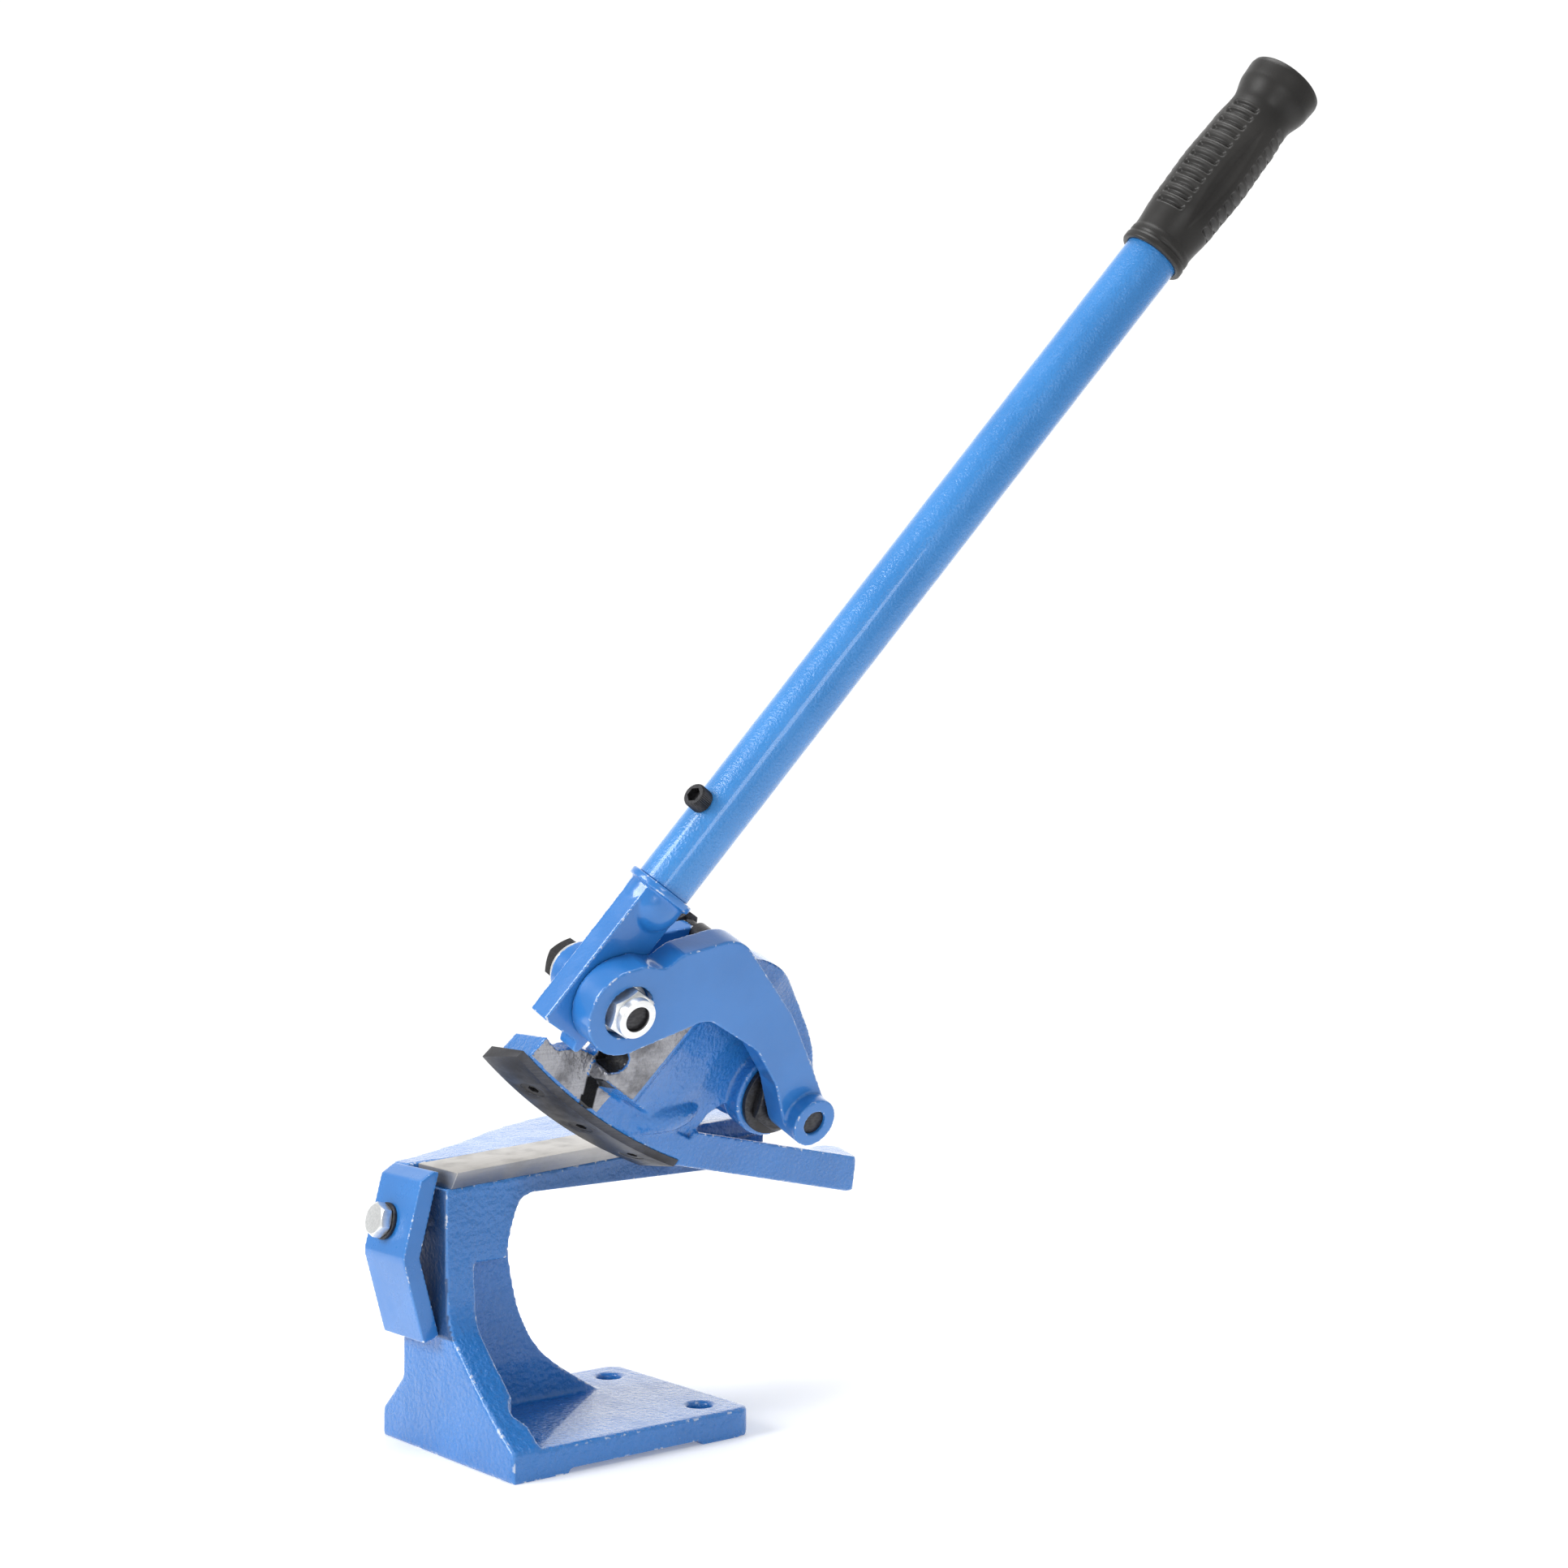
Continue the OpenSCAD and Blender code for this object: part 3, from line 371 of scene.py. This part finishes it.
# The foot of the column runs square down to the bench at both front corners of the base
base_half_width = 65.0
base_half_length = 79.0
corner_size = 9.0
corner_height = 8.4
frame_mesh = merged_copy("frame")
corner_sides = (corner_size, corner_size, corner_height)
corner_shape = Matrix.Diagonal([side * millimetre for side in corner_sides] + [1.0])
for corner_side in (-1.0, 1.0):
    corner_place = Vector((corner_side * (base_half_width - corner_size / 2.0),
                           corner_size / 2.0 - base_half_length, corner_height / 2.0)) * millimetre
    bmesh.ops.create_cube(frame_mesh, size=1.0, matrix=Matrix.Translation(corner_place) @ corner_shape)
blue_tones = (enamel_deep, enamel_bright)
# Painted shade: the seat behind the clamp and the side of the arm below the blade are painted darker
casting_enamel = enamel("casting_enamel", 330.0, 2.6, 0.20, blue_tones, shade_places="painted_shade",
                        shade_tone=shade_blue)
frame_casting = casting_copy("frame_casting", frame_mesh, 1.3, 4)
mark_painted_shade(frame_casting, "painted_shade")
fit(frame_casting, "frame", casting_enamel)

# Lower blade: a flat bar of tool steel, ground all over, with its near side undercut to
# the cutting edge. It lies in a pocket of the arm under the clamp.
flat_angle = math.radians(1.0)
broken_angle = math.radians(28.0)
crease_angle = math.radians(38.0)


def with_flat_faces(work):
    """Joins the triangles of each flat face of a bmesh."""
    bmesh.ops.dissolve_limit(work, angle_limit=flat_angle, verts=work.verts, edges=work.edges)
    return work


def break_edges(work, edges, width, segments):
    """Bevels edges of a bmesh by a width in millimetres."""
    bmesh.ops.bevel(work, geom=edges, offset=width * millimetre, affect="EDGES", segments=segments,
                    profile=0.5, clamp_overlap=True, material=-1)


def machined_piece(name, work, edge_break):
    """A piece from a bmesh, with flat faces joined up and its sharp edges broken."""
    with_flat_faces(work)
    shared = [edge for edge in work.edges if len(edge.link_faces) == 2]
    break_edges(work, [edge for edge in shared if edge.calc_face_angle() > broken_angle], edge_break, 2)
    for face in work.faces:
        face.smooth = True
    piece = object_from(name, work)
    piece.data.set_sharp_from_angle(angle=crease_angle)
    return piece


def machined_copy(name, node, edge_break):
    """A machined piece in the shape of a CAD node."""
    return machined_piece(name, merged_copy(node), edge_break)


# Grinding lines along Y, with streaks of tone, over slow smudges
ground_lines, lines_in, lines_out = new_group(
    "ground_lines", {"Across": 900.0, "Along": 14.0}, ("Height", "Streak", "Smudge"))
lines_place = place(ground_lines, "TexCoord").outputs["Object"]
lines_stretch = place(ground_lines, "CombineXYZ", {"X": lines_in["Across"], "Y": lines_in["Along"],
                                                   "Z": lines_in["Across"]})
lines_way = place(ground_lines, "VectorMath", {0: lines_place, 1: lines_stretch.outputs["Vector"]},
                  operation="MULTIPLY")
lines_fine = place(ground_lines, "TexNoise", {"Vector": lines_way.outputs["Vector"], "Scale": 1.0,
                                              "Detail": 3.0})
lines_smudge = place(ground_lines, "TexNoise", {"Vector": lines_place, "Scale": 45.0, "Detail": 5.0,
                                                "Roughness": 0.6})
ground_lines.links.new(lines_fine.outputs["Fac"], lines_out["Height"])
ground_lines.links.new(between(ground_lines, lines_fine.outputs["Fac"], 0.3, 0.7), lines_out["Streak"])
ground_lines.links.new(between(ground_lines, lines_smudge.outputs["Fac"], 0.45, 0.7), lines_out["Smudge"])


def metal(name, light, dark, smudge, rough, shine, along=14.0, line_depth=0.02):
    """A bare or plated metal with fine working lines, smudges and edges painted lighter as a painted
    highlight.
    """
    material = bpy.data.materials.new(name)
    material.use_nodes = True
    tree = material.node_tree
    shader = tree.nodes["Principled BSDF"]
    lines = place(tree, "Group", node_tree=ground_lines)
    lines.inputs["Along"].default_value = along
    wear_and_shading = place(tree, "Group", node_tree=edge_wear_and_shading)
    colour = mixed(tree, lines.outputs["Streak"], dark, light)
    colour = mixed(tree, lines.outputs["Smudge"], colour, smudge)
    # Convex edges painted lighter as a painted highlight
    colour = mixed(tree, scaled(tree, wear_and_shading.outputs["Edge"], 0.4), colour, light)
    tree.links.new(colour, shader.inputs["Base Color"])
    spread = scaled(tree, lines.outputs["Smudge"], 0.14)
    tree.links.new(maths(tree, spread, rough), shader.inputs["Roughness"])
    shader.inputs["Metallic"].default_value = shine
    bump_to(tree, lines.outputs["Height"], 0.4, line_depth)
    return material


ground_steel = metal("ground_steel", (0.50, 0.48, 0.455, 1.0), (0.41, 0.395, 0.375, 1.0),
                     (0.33, 0.32, 0.31, 1.0), 0.42, 1.0)
lower_blade = machined_copy("lower_blade_bar", "lower_blade", 0.3)
fit(lower_blade, "lower_blade", ground_steel)

# Blade clamp: a thick bent strip of steel that bears on the end of the lower blade. One
# plated hexagon bolt with a black washer pulls it against the column. The upper outer edge
# is chamfered.
plate_enamel = enamel("plate_enamel", 650.0, 0.15, 0.27, blue_tones)
clamp_chamfer = 6.5
clamp_mesh = with_flat_faces(merged_copy("clamp_plate"))
outer_edge = max(clamp_mesh.edges, key=lambda edge: min(point.co.z - point.co.y for point in edge.verts))
break_edges(clamp_mesh, [outer_edge], clamp_chamfer, 1)
clamp_plate = casting_copy("clamp_strip", clamp_mesh, 0.8, 3)
fit(clamp_plate, "clamp_plate", plate_enamel)
black_oxide = metal("black_oxide", (0.060, 0.060, 0.064, 1.0), (0.022, 0.022, 0.025, 1.0),
                    (0.032, 0.030, 0.030, 1.0), 0.36, 0.7, 400.0)
clamp_washer = machined_copy("clamp_bolt_washer", "clamp_washer", 0.3)
fit(clamp_washer, "clamp_washer", black_oxide)
bright_zinc = metal("bright_zinc", (0.86, 0.87, 0.87, 1.0), (0.72, 0.74, 0.74, 1.0), (0.60, 0.61, 0.60, 1.0),
                    0.30, 0.85, 300.0)
clamp_bolt = machined_copy("clamp_hexagon_bolt", "clamp_bolt", 0.25)
fit(clamp_bolt, "clamp_bolt", bright_zinc)

# Main pivot: a black shouldered bolt held in the cheek of the frame. The head turns on it
# under a thick washer and a hexagon nut, and its thin end carries the near link.
pivot_pieces = (("main_pivot_bolt", "pivot_bolt", 0.5), ("main_pivot_washer", "pivot_washer", 0.4),
                ("main_pivot_nut", "pivot_nut", 0.3))
for name, node, edge_break in pivot_pieces:
    fit(machined_copy(name, node, edge_break), node, black_oxide)

# Head: an iron casting that swings on the main pivot, with a sole over the upper blade, a
# tail bar, a round shoulder and a toothed block. Its faces beside the lever are left bare.
shear_lean = math.radians(22.5)
hinge = Vector((math.cos(shear_lean), 0.0, -math.sin(shear_lean)))
rear = Vector((0.0, 1.0, 0.0))
rise = Vector((math.sin(shear_lean), 0.0, math.cos(shear_lean)))
shear_place = Vector((0.010, 0.0, 0.155))
# Places in millimetres along the hinge, to the rear and up the shear plane, and turns in
# degrees round the main pivot
toothed_face = 42.4
wall_face = 27.6
shoulder_line = Vector((-10.0, 55.0))
shoulder_slope = math.tan(math.radians(33.5))
main_pivot = Vector((101.0, 47.5))
notch_root = 123.6
tooth_tip = 132.5
teeth_from = 143.5
teeth_to = 180.5
curve_radius = 430.0
curve_axis = Vector((0.0, 0.19702, 0.54701))
blade_back = 423.0
painted_strip = 1.8
face_slack = 1.0
wall_slack = 0.6
rim_depth = 2.0
notch_slack = 1.5
square_on = 0.8


def shear_coordinates(point):
    """Millimetres along the hinge direction, to the rear and up the shear plane."""
    step = (point - shear_place) / millimetre
    return step.dot(hinge), step.dot(rear), step.dot(rise)


def in_shear(along, back, up):
    """The point at these shear coordinates, in metres."""
    return shear_place + (hinge * along + rear * back + rise * up) * millimetre


def past_shoulder(back, up):
    """Millimetres from the edge of the machined faces over the shoulder, to the rear."""
    boundary = shoulder_line.x + (up - shoulder_line.y) * shoulder_slope
    return (back - boundary) * math.cos(math.atan(shoulder_slope))


def mark_head(piece, bare_label, notch_label):
    """Marks the machined faces left of the shoulder, and the notches painted nearly black as painted shade,
    on two attributes.
    """
    bare = piece.data.attributes.new(bare_label, "FLOAT", "POINT")
    dark = piece.data.attributes.new(notch_label, "FLOAT", "POINT")
    for vertex in piece.data.vertices:
        along, back, up = shear_coordinates(vertex.co)
        inside = min(max(0.5 - past_shoulder(back, up) / 2.0, 0.0), 1.0)
        from_axis = vertex.co - curve_axis
        strip = math.hypot(from_axis.y, from_axis.z) / millimetre > blade_back - painted_strip
        flat = vertex.normal.dot(hinge) > square_on
        machined = flat and min(abs(along - toothed_face), abs(along - wall_face)) < face_slack
        spoke = Vector((back, up)) - main_pivot
        turn = math.degrees(math.atan2(spoke.y, spoke.x)) % 360.0
        in_teeth = teeth_from < turn < teeth_to and along > wall_face - wall_slack
        rim = in_teeth and spoke.length > tooth_tip - rim_depth and along > wall_face + face_slack
        bare.data[vertex.index].value = inside if (machined or rim) and not strip else 0.0
        # Painted shade: the notches between the teeth and the wall behind them are painted nearly black
        between_teeth = in_teeth and notch_root - notch_slack < spoke.length < tooth_tip - face_slack
        dark.data[vertex.index].value = 1.0 if between_teeth and along < toothed_face - face_slack else 0.0


# A rounded gusset runs from the tail bar up to the shoulder of the casting
gusset_place = in_shear(20.5, 25.0, 37.0)
gusset_size = (16.0, 30.0, 12.0)
head_mesh = merged_copy("head")
gusset_turn = Matrix((hinge, rear, rise)).transposed().to_4x4()
gusset_shape = Matrix.Diagonal([size * millimetre for size in gusset_size] + [1.0])
bmesh.ops.create_uvsphere(head_mesh, u_segments=48, v_segments=24, radius=1.0,
                          matrix=Matrix.Translation(gusset_place) @ gusset_turn @ gusset_shape)
head_casting = casting_copy("head_casting", head_mesh, 1.1, 5)
# The casting falls away from the machined faces in a hollow curve, which begins and ends
# at these distances over the shoulder
fall_depth = 5.0
fall_begins = (0.5, 12.0)
fall_ends = (16.0, 52.0)
fall_blend = 6.0
towards_lever = 0.2
faces_lever = [vertex.normal.dot(hinge) > towards_lever for vertex in head_casting.data.vertices]
for vertex in head_casting.data.vertices:
    along, back, up = shear_coordinates(vertex.co)
    over = past_shoulder(back, up)
    hollow = eased(over, *fall_begins) * (1.0 - eased(over, *fall_ends))
    if faces_lever[vertex.index] and along > wall_face:
        blend = eased(along, wall_face, wall_face + fall_blend)
        vertex.co -= hinge * fall_depth * hollow * blend * millimetre
mark_head(head_casting, "bare_faces", "painted_notch_shade")
head_enamel = enamel("head_enamel", 420.0, 2.0, 0.20, blue_tones, bare_faces="bare_faces",
                     shade_places="painted_notch_shade")
fit(head_casting, "head", head_enamel)

# Upper blade: a curved bar of hardened tool steel under the sole of the head, left dark
# from hardening, with three flat head screws from below. Its cutting face is relieved
# towards the near side.
hardened_steel = metal("hardened_steel", (0.085, 0.087, 0.097, 1.0), (0.056, 0.058, 0.067, 1.0),
                       (0.044, 0.042, 0.043, 1.0), 0.38, 0.8, 60.0)
blade_face = 7.0
blade_relief = 3.0
relief_slope = blade_relief / wall_face
blade_mesh = merged_copy("upper_blade")
for point in blade_mesh.verts:
    spoke = point.co - curve_axis
    spoke.x = 0.0
    share = max(spoke.length / millimetre - blade_back, 0.0) / blade_face
    point.co -= spoke.normalized() * share * shear_coordinates(point.co)[0] * relief_slope * millimetre
fit(machined_piece("upper_blade_bar", blade_mesh, 0.35), "upper_blade", hardened_steel)


def raised(work, loop, lift, spread=1.0):
    """Extrudes an open loop along Z, scales its new rim and gives back that rim."""
    grown = bmesh.ops.extrude_edge_only(work, edges=loop)["geom"]
    rim = [item for item in grown if isinstance(item, bmesh.types.BMVert)]
    bmesh.ops.translate(work, vec=(0.0, 0.0, lift), verts=rim)
    bmesh.ops.scale(work, vec=(spread, spread, 1.0), verts=rim)
    return [item for item in grown if isinstance(item, bmesh.types.BMEdge)
            and all(end in rim for end in item.verts)]


def hexagon_socket(work, rim, radius, height, depth):
    """Closes a rim with a flat that has a hexagon socket sunk into it along Z."""
    hexagon = bmesh.ops.create_circle(work, cap_ends=False, radius=radius, segments=6)["verts"]
    bmesh.ops.translate(work, vec=(0.0, 0.0, height), verts=hexagon)
    loop = list({edge for corner in hexagon for edge in corner.link_edges})
    bmesh.ops.bridge_loops(work, edges=rim + loop)
    bmesh.ops.contextual_create(work, geom=raised(work, loop, depth))


# Radii and lengths of a screw in millimetres, and its turns in degrees round the curve's axis
flat_head = 7.0
flat_shank = 4.0
flat_sunk = 0.5
flat_cone = 4.2
flat_length = 18.0
flat_socket = 3.4
flat_socket_depth = 2.8
flat_turns = (-35.51, -29.55, -23.59)
flat_along = 13.95
flat_screws = bmesh.new()
for turn in flat_turns:
    screw = bmesh.new()
    bmesh.ops.create_circle(screw, cap_ends=False, radius=flat_head, segments=48)
    bmesh.ops.translate(screw, vec=(0.0, 0.0, flat_sunk), verts=screw.verts)
    rim = list(screw.edges)
    neck = raised(screw, rim, flat_cone, flat_shank / flat_head)
    tip = raised(screw, neck, flat_length - flat_cone - flat_sunk)
    bmesh.ops.contextual_create(screw, geom=tip)
    hexagon_socket(screw, rim, flat_socket, flat_sunk, flat_socket_depth)
    bmesh.ops.recalc_face_normals(screw, faces=screw.faces)
    bmesh.ops.scale(screw, vec=(millimetre,) * 3, verts=screw.verts)
    lean = math.radians(turn)
    face_radius = curve_radius - flat_along * relief_slope
    face_point = curve_axis + Vector((0.0, math.sin(lean), -math.cos(lean))) * face_radius * millimetre
    reach = flat_along * millimetre
    lift = (face_point.z - shear_place.z + reach * math.sin(shear_lean)) / math.cos(shear_lean)
    face_point.x = shear_place.x + reach * math.cos(shear_lean) + lift * math.sin(shear_lean)
    seat = Matrix.Rotation(lean, 4, "X") @ Matrix.Rotation(-math.atan(relief_slope), 4, "Y")
    bmesh.ops.transform(screw, matrix=Matrix.Translation(face_point) @ seat, verts=screw.verts)
    screw_data = bpy.data.meshes.new("flat_screw")
    screw.to_mesh(screw_data)
    screw.free()
    flat_screws.from_mesh(screw_data)
fit(object_from("upper_blade_flat_screws", flat_screws), "upper_blade_screws", black_oxide)

# Links: two arched straps that carry the lever bolt over the toothed block. The near one is
# a thick forging with an eye and a pivot boss, the far one is plainer, and a black tie
# bolt holds the two apart.
link_enamel = enamel("link_enamel", 700.0, 0.12, 0.28, blue_tones)
near_link = casting_copy("near_link_forging", merged_copy("near_link"), 0.8, 4)
# The strap leaves its eye in a hollow along the upper edge
lever_centre = Vector((-38.83, 119.98))
strap_way = Vector((0.96, 0.28))
strap_out = Vector((-0.28, 0.96))
hollow_place = 22.0
hollow_half = 13.0
hollow_depth = 4.5
hollow_rise = (5.0, 18.0)
for vertex in near_link.data.vertices:
    along, back, up = shear_coordinates(vertex.co)
    arm = Vector((back, up)) - lever_centre
    share = 1.0 - eased(abs(arm.dot(strap_way) - hollow_place), 0.0, hollow_half)
    sink = strap_out * share * hollow_depth * eased(arm.dot(strap_out), *hollow_rise)
    vertex.co -= (rear * sink.x + rise * sink.y) * millimetre
fit(near_link, "near_link", link_enamel)
fit(casting_copy("far_link_forging", merged_copy("far_link"), 0.9, 4), "far_link", link_enamel)
fit(machined_copy("link_tie_bolt", "link_tie", 0.3), "link_tie", black_oxide)

# Lever bolt: a black hexagon bolt through both links, with a steel spacer and washers, and
# a plated lock nut with a black nylon ring in its collar.
fit(machined_copy("lever_hexagon_bolt", "lever_bolt", 0.3), "lever_bolt", black_oxide)
fit(machined_copy("lever_bolt_spacer", "lever_spacer", 0.3), "lever_spacer", hardened_steel)
fit(machined_copy("lever_bolt_washers", "lever_washers", 0.3), "lever_washers", bright_zinc)
fit(machined_copy("lever_lock_nut", "lock_nut", 0.3), "lock_nut", bright_zinc)


def moulded(name, light, dark, grain, depth, rough):
    """A moulded plastic or rubber with a fine mould grain, handled patches and edges painted lighter as a
    painted highlight.
    """
    material = bpy.data.materials.new(name)
    material.use_nodes = True
    tree = material.node_tree
    shader = tree.nodes["Principled BSDF"]
    skin = place(tree, "Group", node_tree=cast_skin)
    skin.inputs["Grain"].default_value = grain
    wear_and_shading = place(tree, "Group", node_tree=edge_wear_and_shading)
    colour = mixed(tree, skin.outputs["Tone"], dark, light)
    # Convex edges painted lighter as a painted highlight
    colour = mixed(tree, scaled(tree, wear_and_shading.outputs["Edge"], 0.5), colour, light)
    tree.links.new(colour, shader.inputs["Base Color"])
    spread = scaled(tree, skin.outputs["Haze"], 0.12)
    tree.links.new(maths(tree, spread, rough), shader.inputs["Roughness"])
    shader.inputs["Specular IOR Level"].default_value = 0.4
    bump_to(tree, skin.outputs["Height"], 0.4, depth)
    return material


black_nylon = moulded("black_nylon", (0.045, 0.045, 0.048, 1.0), (0.018, 0.018, 0.020, 1.0),
                      1800.0, 0.03, 0.36)
fit(machined_copy("lock_nut_ring", "lock_ring", 0.2), "lock_ring", black_nylon)

# Lever: a flat forging with four teeth round its pivot, a bronze bush, and a socket boss
# and collar that the handle pipe stands on.
fit(casting_copy("lever_forging", merged_copy("lever"), 0.75, 4), "lever", link_enamel)
bearing_bronze = metal("bearing_bronze", (0.55, 0.39, 0.17, 1.0), (0.42, 0.28, 0.11, 1.0),
                       (0.30, 0.20, 0.09, 1.0), 0.30, 1.0, 300.0)
fit(machined_copy("lever_bearing_bush", "lever_bush", 0.2), "lever_bush", bearing_bronze)

# Handle pipe: a length of 30 mm steel tube over the lever's spigot, sprayed with the same
# enamel, which has dried to a pebbled skin.
handle_rise = math.radians(58.6)
along_handle = rear * math.cos(handle_rise) + rise * math.sin(handle_rise)
front_of_handle = rise * math.cos(handle_rise) - rear * math.sin(handle_rise)
lever_joint = next(joint for joint in frame["joints"] if joint["name"] == "lever_hinge")
handle_aside = 0.3
handle_offset = 12.3
handle_shift = (hinge * handle_aside + front_of_handle * handle_offset) * millimetre
handle_centre = Vector(lever_joint["pos_m"]) + handle_shift
pipe_foot = 61.0
pipe_length = 532.0
pipe_radius = 15.0
pipe_bore = 12.0
pipe_edge = 0.5
pipe_steps = 96
weld = 0.001


def on_handle(work):
    """Takes a mesh drawn in millimetres about Z to the handle's axis."""
    turn = Matrix((hinge, -front_of_handle, along_handle)).transposed().to_4x4()
    bmesh.ops.scale(work, vec=(millimetre,) * 3, verts=work.verts)
    bmesh.ops.transform(work, matrix=Matrix.Translation(handle_centre) @ turn, verts=work.verts)


def turned(profile, steps, closed=True):
    """A bmesh turned about Z from a profile of (radius, height) in millimetres."""
    work = bmesh.new()
    points = [work.verts.new((radius, 0.0, height)) for radius, height in profile]
    pairs = list(zip(points, points[1:]))
    if closed:
        pairs.append((points[-1], points[0]))
    outline = [work.edges.new(pair) for pair in pairs]
    bmesh.ops.spin(work, geom=points + outline, cent=(0.0, 0.0, 0.0), axis=(0.0, 0.0, 1.0),
                   dvec=(0.0, 0.0, 0.0), angle=math.tau, steps=steps, use_merge=True, use_duplicate=False)
    bmesh.ops.remove_doubles(work, verts=work.verts, dist=weld)
    bmesh.ops.recalc_face_normals(work, faces=work.faces)
    for face in work.faces:
        face.smooth = True
    return work


pipe_top = pipe_foot + pipe_length
pipe_profile = [(pipe_bore, pipe_foot), (pipe_radius - pipe_edge, pipe_foot),
                (pipe_radius, pipe_foot + pipe_edge), (pipe_radius, pipe_top - pipe_edge),
                (pipe_radius - pipe_edge, pipe_top), (pipe_bore, pipe_top)]
pipe_mesh = turned(pipe_profile, pipe_steps)
on_handle(pipe_mesh)
handle_pipe = object_from("handle_tube", pipe_mesh)
handle_pipe.data.set_sharp_from_angle(angle=math.radians(30.0))
pipe_tones = ((0.034, 0.215, 0.56, 1.0), (0.042, 0.240, 0.61, 1.0))
fit(handle_pipe, "handle_pipe", enamel("pipe_enamel", 750.0, 0.9, 0.22, pipe_tones, worn_and_shaded=False))

# Handle screw: a black cap screw with a knurled head and a hexagon socket, through the
# pipe into the lever's spigot.
screw_place = pipe_foot + 46.5
cap_radius = 6.5
cap_height = 8.0
cap_chamfer = 1.0
cap_taper = 0.9
cap_ridges = 40
ridge_depth = 0.94
socket_radius = 4.1
socket_depth = 4.2
shank_radius = 4.0
shank_depth = 20.0
screw_mesh = bmesh.new()
cap_foot = bmesh.ops.create_circle(screw_mesh, cap_ends=False, radius=cap_radius, segments=2 * cap_ridges)
for valley in cap_foot["verts"][::2]:
    valley.co *= ridge_depth
cap_loop = list(screw_mesh.edges)
cap_side = raised(screw_mesh, cap_loop, cap_height - cap_chamfer)
cap_top = raised(screw_mesh, cap_side, cap_chamfer, cap_taper)
hexagon_socket(screw_mesh, cap_top, socket_radius, cap_height, -socket_depth)
shank_foot = raised(screw_mesh, raised(screw_mesh, cap_loop, 0.0, shank_radius / cap_radius), -shank_depth)
bmesh.ops.contextual_create(screw_mesh, geom=shank_foot)
bmesh.ops.recalc_face_normals(screw_mesh, faces=screw_mesh.faces)
bmesh.ops.rotate(screw_mesh, cent=(0.0, 0.0, 0.0), matrix=Matrix.Rotation(math.radians(90.0), 3, "X"),
                 verts=screw_mesh.verts)
bmesh.ops.translate(screw_mesh, vec=(0.0, -pipe_radius, screw_place), verts=screw_mesh.verts)
on_handle(screw_mesh)
fit(object_from("handle_cap_screw", screw_mesh), "handle_screw", black_oxide)

# Grip: a sleeve of satin black rubber pushed over the pipe, with a stepped mouth, rows of
# cross ribs, a pointed groove between them, a slim neck and a flared end.
grip_foot = pipe_foot + 419.0
grip_length = 121.0
grip_stations = ((0.0, 17.7), (0.8, 18.2), (3.6, 18.2), (4.4, 17.2), (5.2, 17.2), (6.0, 17.9), (8.6, 17.8),
                 (9.6, 17.4), (30.0, 19.2), (55.0, 19.9), (80.0, 19.0), (97.0, 17.6), (110.0, 20.6),
                 (117.5, 21.0), (119.6, 20.5), (120.6, 19.4), (grip_length, 17.8))
# Lengths up the sleeve in millimetres, and turns round it in degrees
grip_row = 0.7
rib_pitch = 6.0
rib_depth = 2.0
rib_start = 22.0
rib_end = 94.0
rib_near = 24.0
rib_far = 80.0
groove_face = -26.0
groove_start = 14.0
groove_end = 90.0
groove_half = 5.0
groove_depth = 2.6
groove_point = 1.3
row_blend = 5.0
rib_blend = 3.0
sleeve_gap = 0.1
mouth_bore = 6.0
mouth_edge = 0.4
mouth_chamfer = 0.6
grip_steps = 160


def grip_radius(height):
    """The sleeve's radius at a height above its mouth, eased from station to station."""
    for (low, first), (high, second) in zip(grip_stations, grip_stations[1:]):
        if height <= high:
            return first + (second - first) * eased(height, low, high)
    return grip_stations[-1][1]


def grip_relief(angle, height, radius):
    """How far the ribs and the pointed groove sink below the sleeve, in millimetres."""
    turn = (angle - groove_face + 90.0) % 180.0 - 90.0
    in_row = eased(abs(turn), rib_near, rib_near + row_blend)
    in_row *= 1.0 - eased(abs(turn), rib_far - row_blend, rib_far)
    in_rows = eased(height, rib_start, rib_start + rib_blend)
    in_rows *= 1.0 - eased(height, rib_end - rib_blend, rib_end)
    wave = 0.5 - 0.5 * math.cos(math.tau * (height - rib_start) / rib_pitch)
    ribs = rib_depth * in_row * in_rows * eased(wave, 0.25, 0.75)
    share = (height - groove_start) / (groove_end - groove_start)
    if not 0.0 < share < 1.0:
        return ribs
    half = groove_half * math.sin(math.pi * share) ** groove_point + 0.05
    off = abs(math.radians(turn)) * radius / half
    return ribs + groove_depth * min(half / groove_half, 1.0) * max(1.0 - off, 0.0)


grip_rows = int(grip_length / grip_row)
grip_heights = [grip_length * row / grip_rows for row in range(grip_rows + 1)]
grip_line = [(pipe_radius + sleeve_gap, mouth_bore), (pipe_radius + sleeve_gap, mouth_edge),
             (pipe_radius + mouth_chamfer, 0.0)]
grip_line += [(grip_radius(height), height) for height in grip_heights]
grip_line += [(radius, grip_length) for radius in (14.0, 8.0, 3.0, 0.0)]
grip_mesh = turned(grip_line, grip_steps, closed=False)
outer_reach = pipe_radius + 1.0
for point in grip_mesh.verts:
    reach = math.hypot(point.co.x, point.co.y)
    if reach > outer_reach:
        way = math.degrees(math.atan2(point.co.y, point.co.x))
        sunk = 1.0 - grip_relief(way, point.co.z, reach) / reach
        point.co.x *= sunk
        point.co.y *= sunk
bmesh.ops.translate(grip_mesh, vec=(0.0, 0.0, grip_foot), verts=grip_mesh.verts)
on_handle(grip_mesh)
satin_rubber = moulded("satin_rubber", (0.034, 0.032, 0.030, 1.0), (0.017, 0.016, 0.015, 1.0),
                       1500.0, 0.05, 0.40)
fit(object_from("rubber_grip", grip_mesh), "grip", satin_rubber)
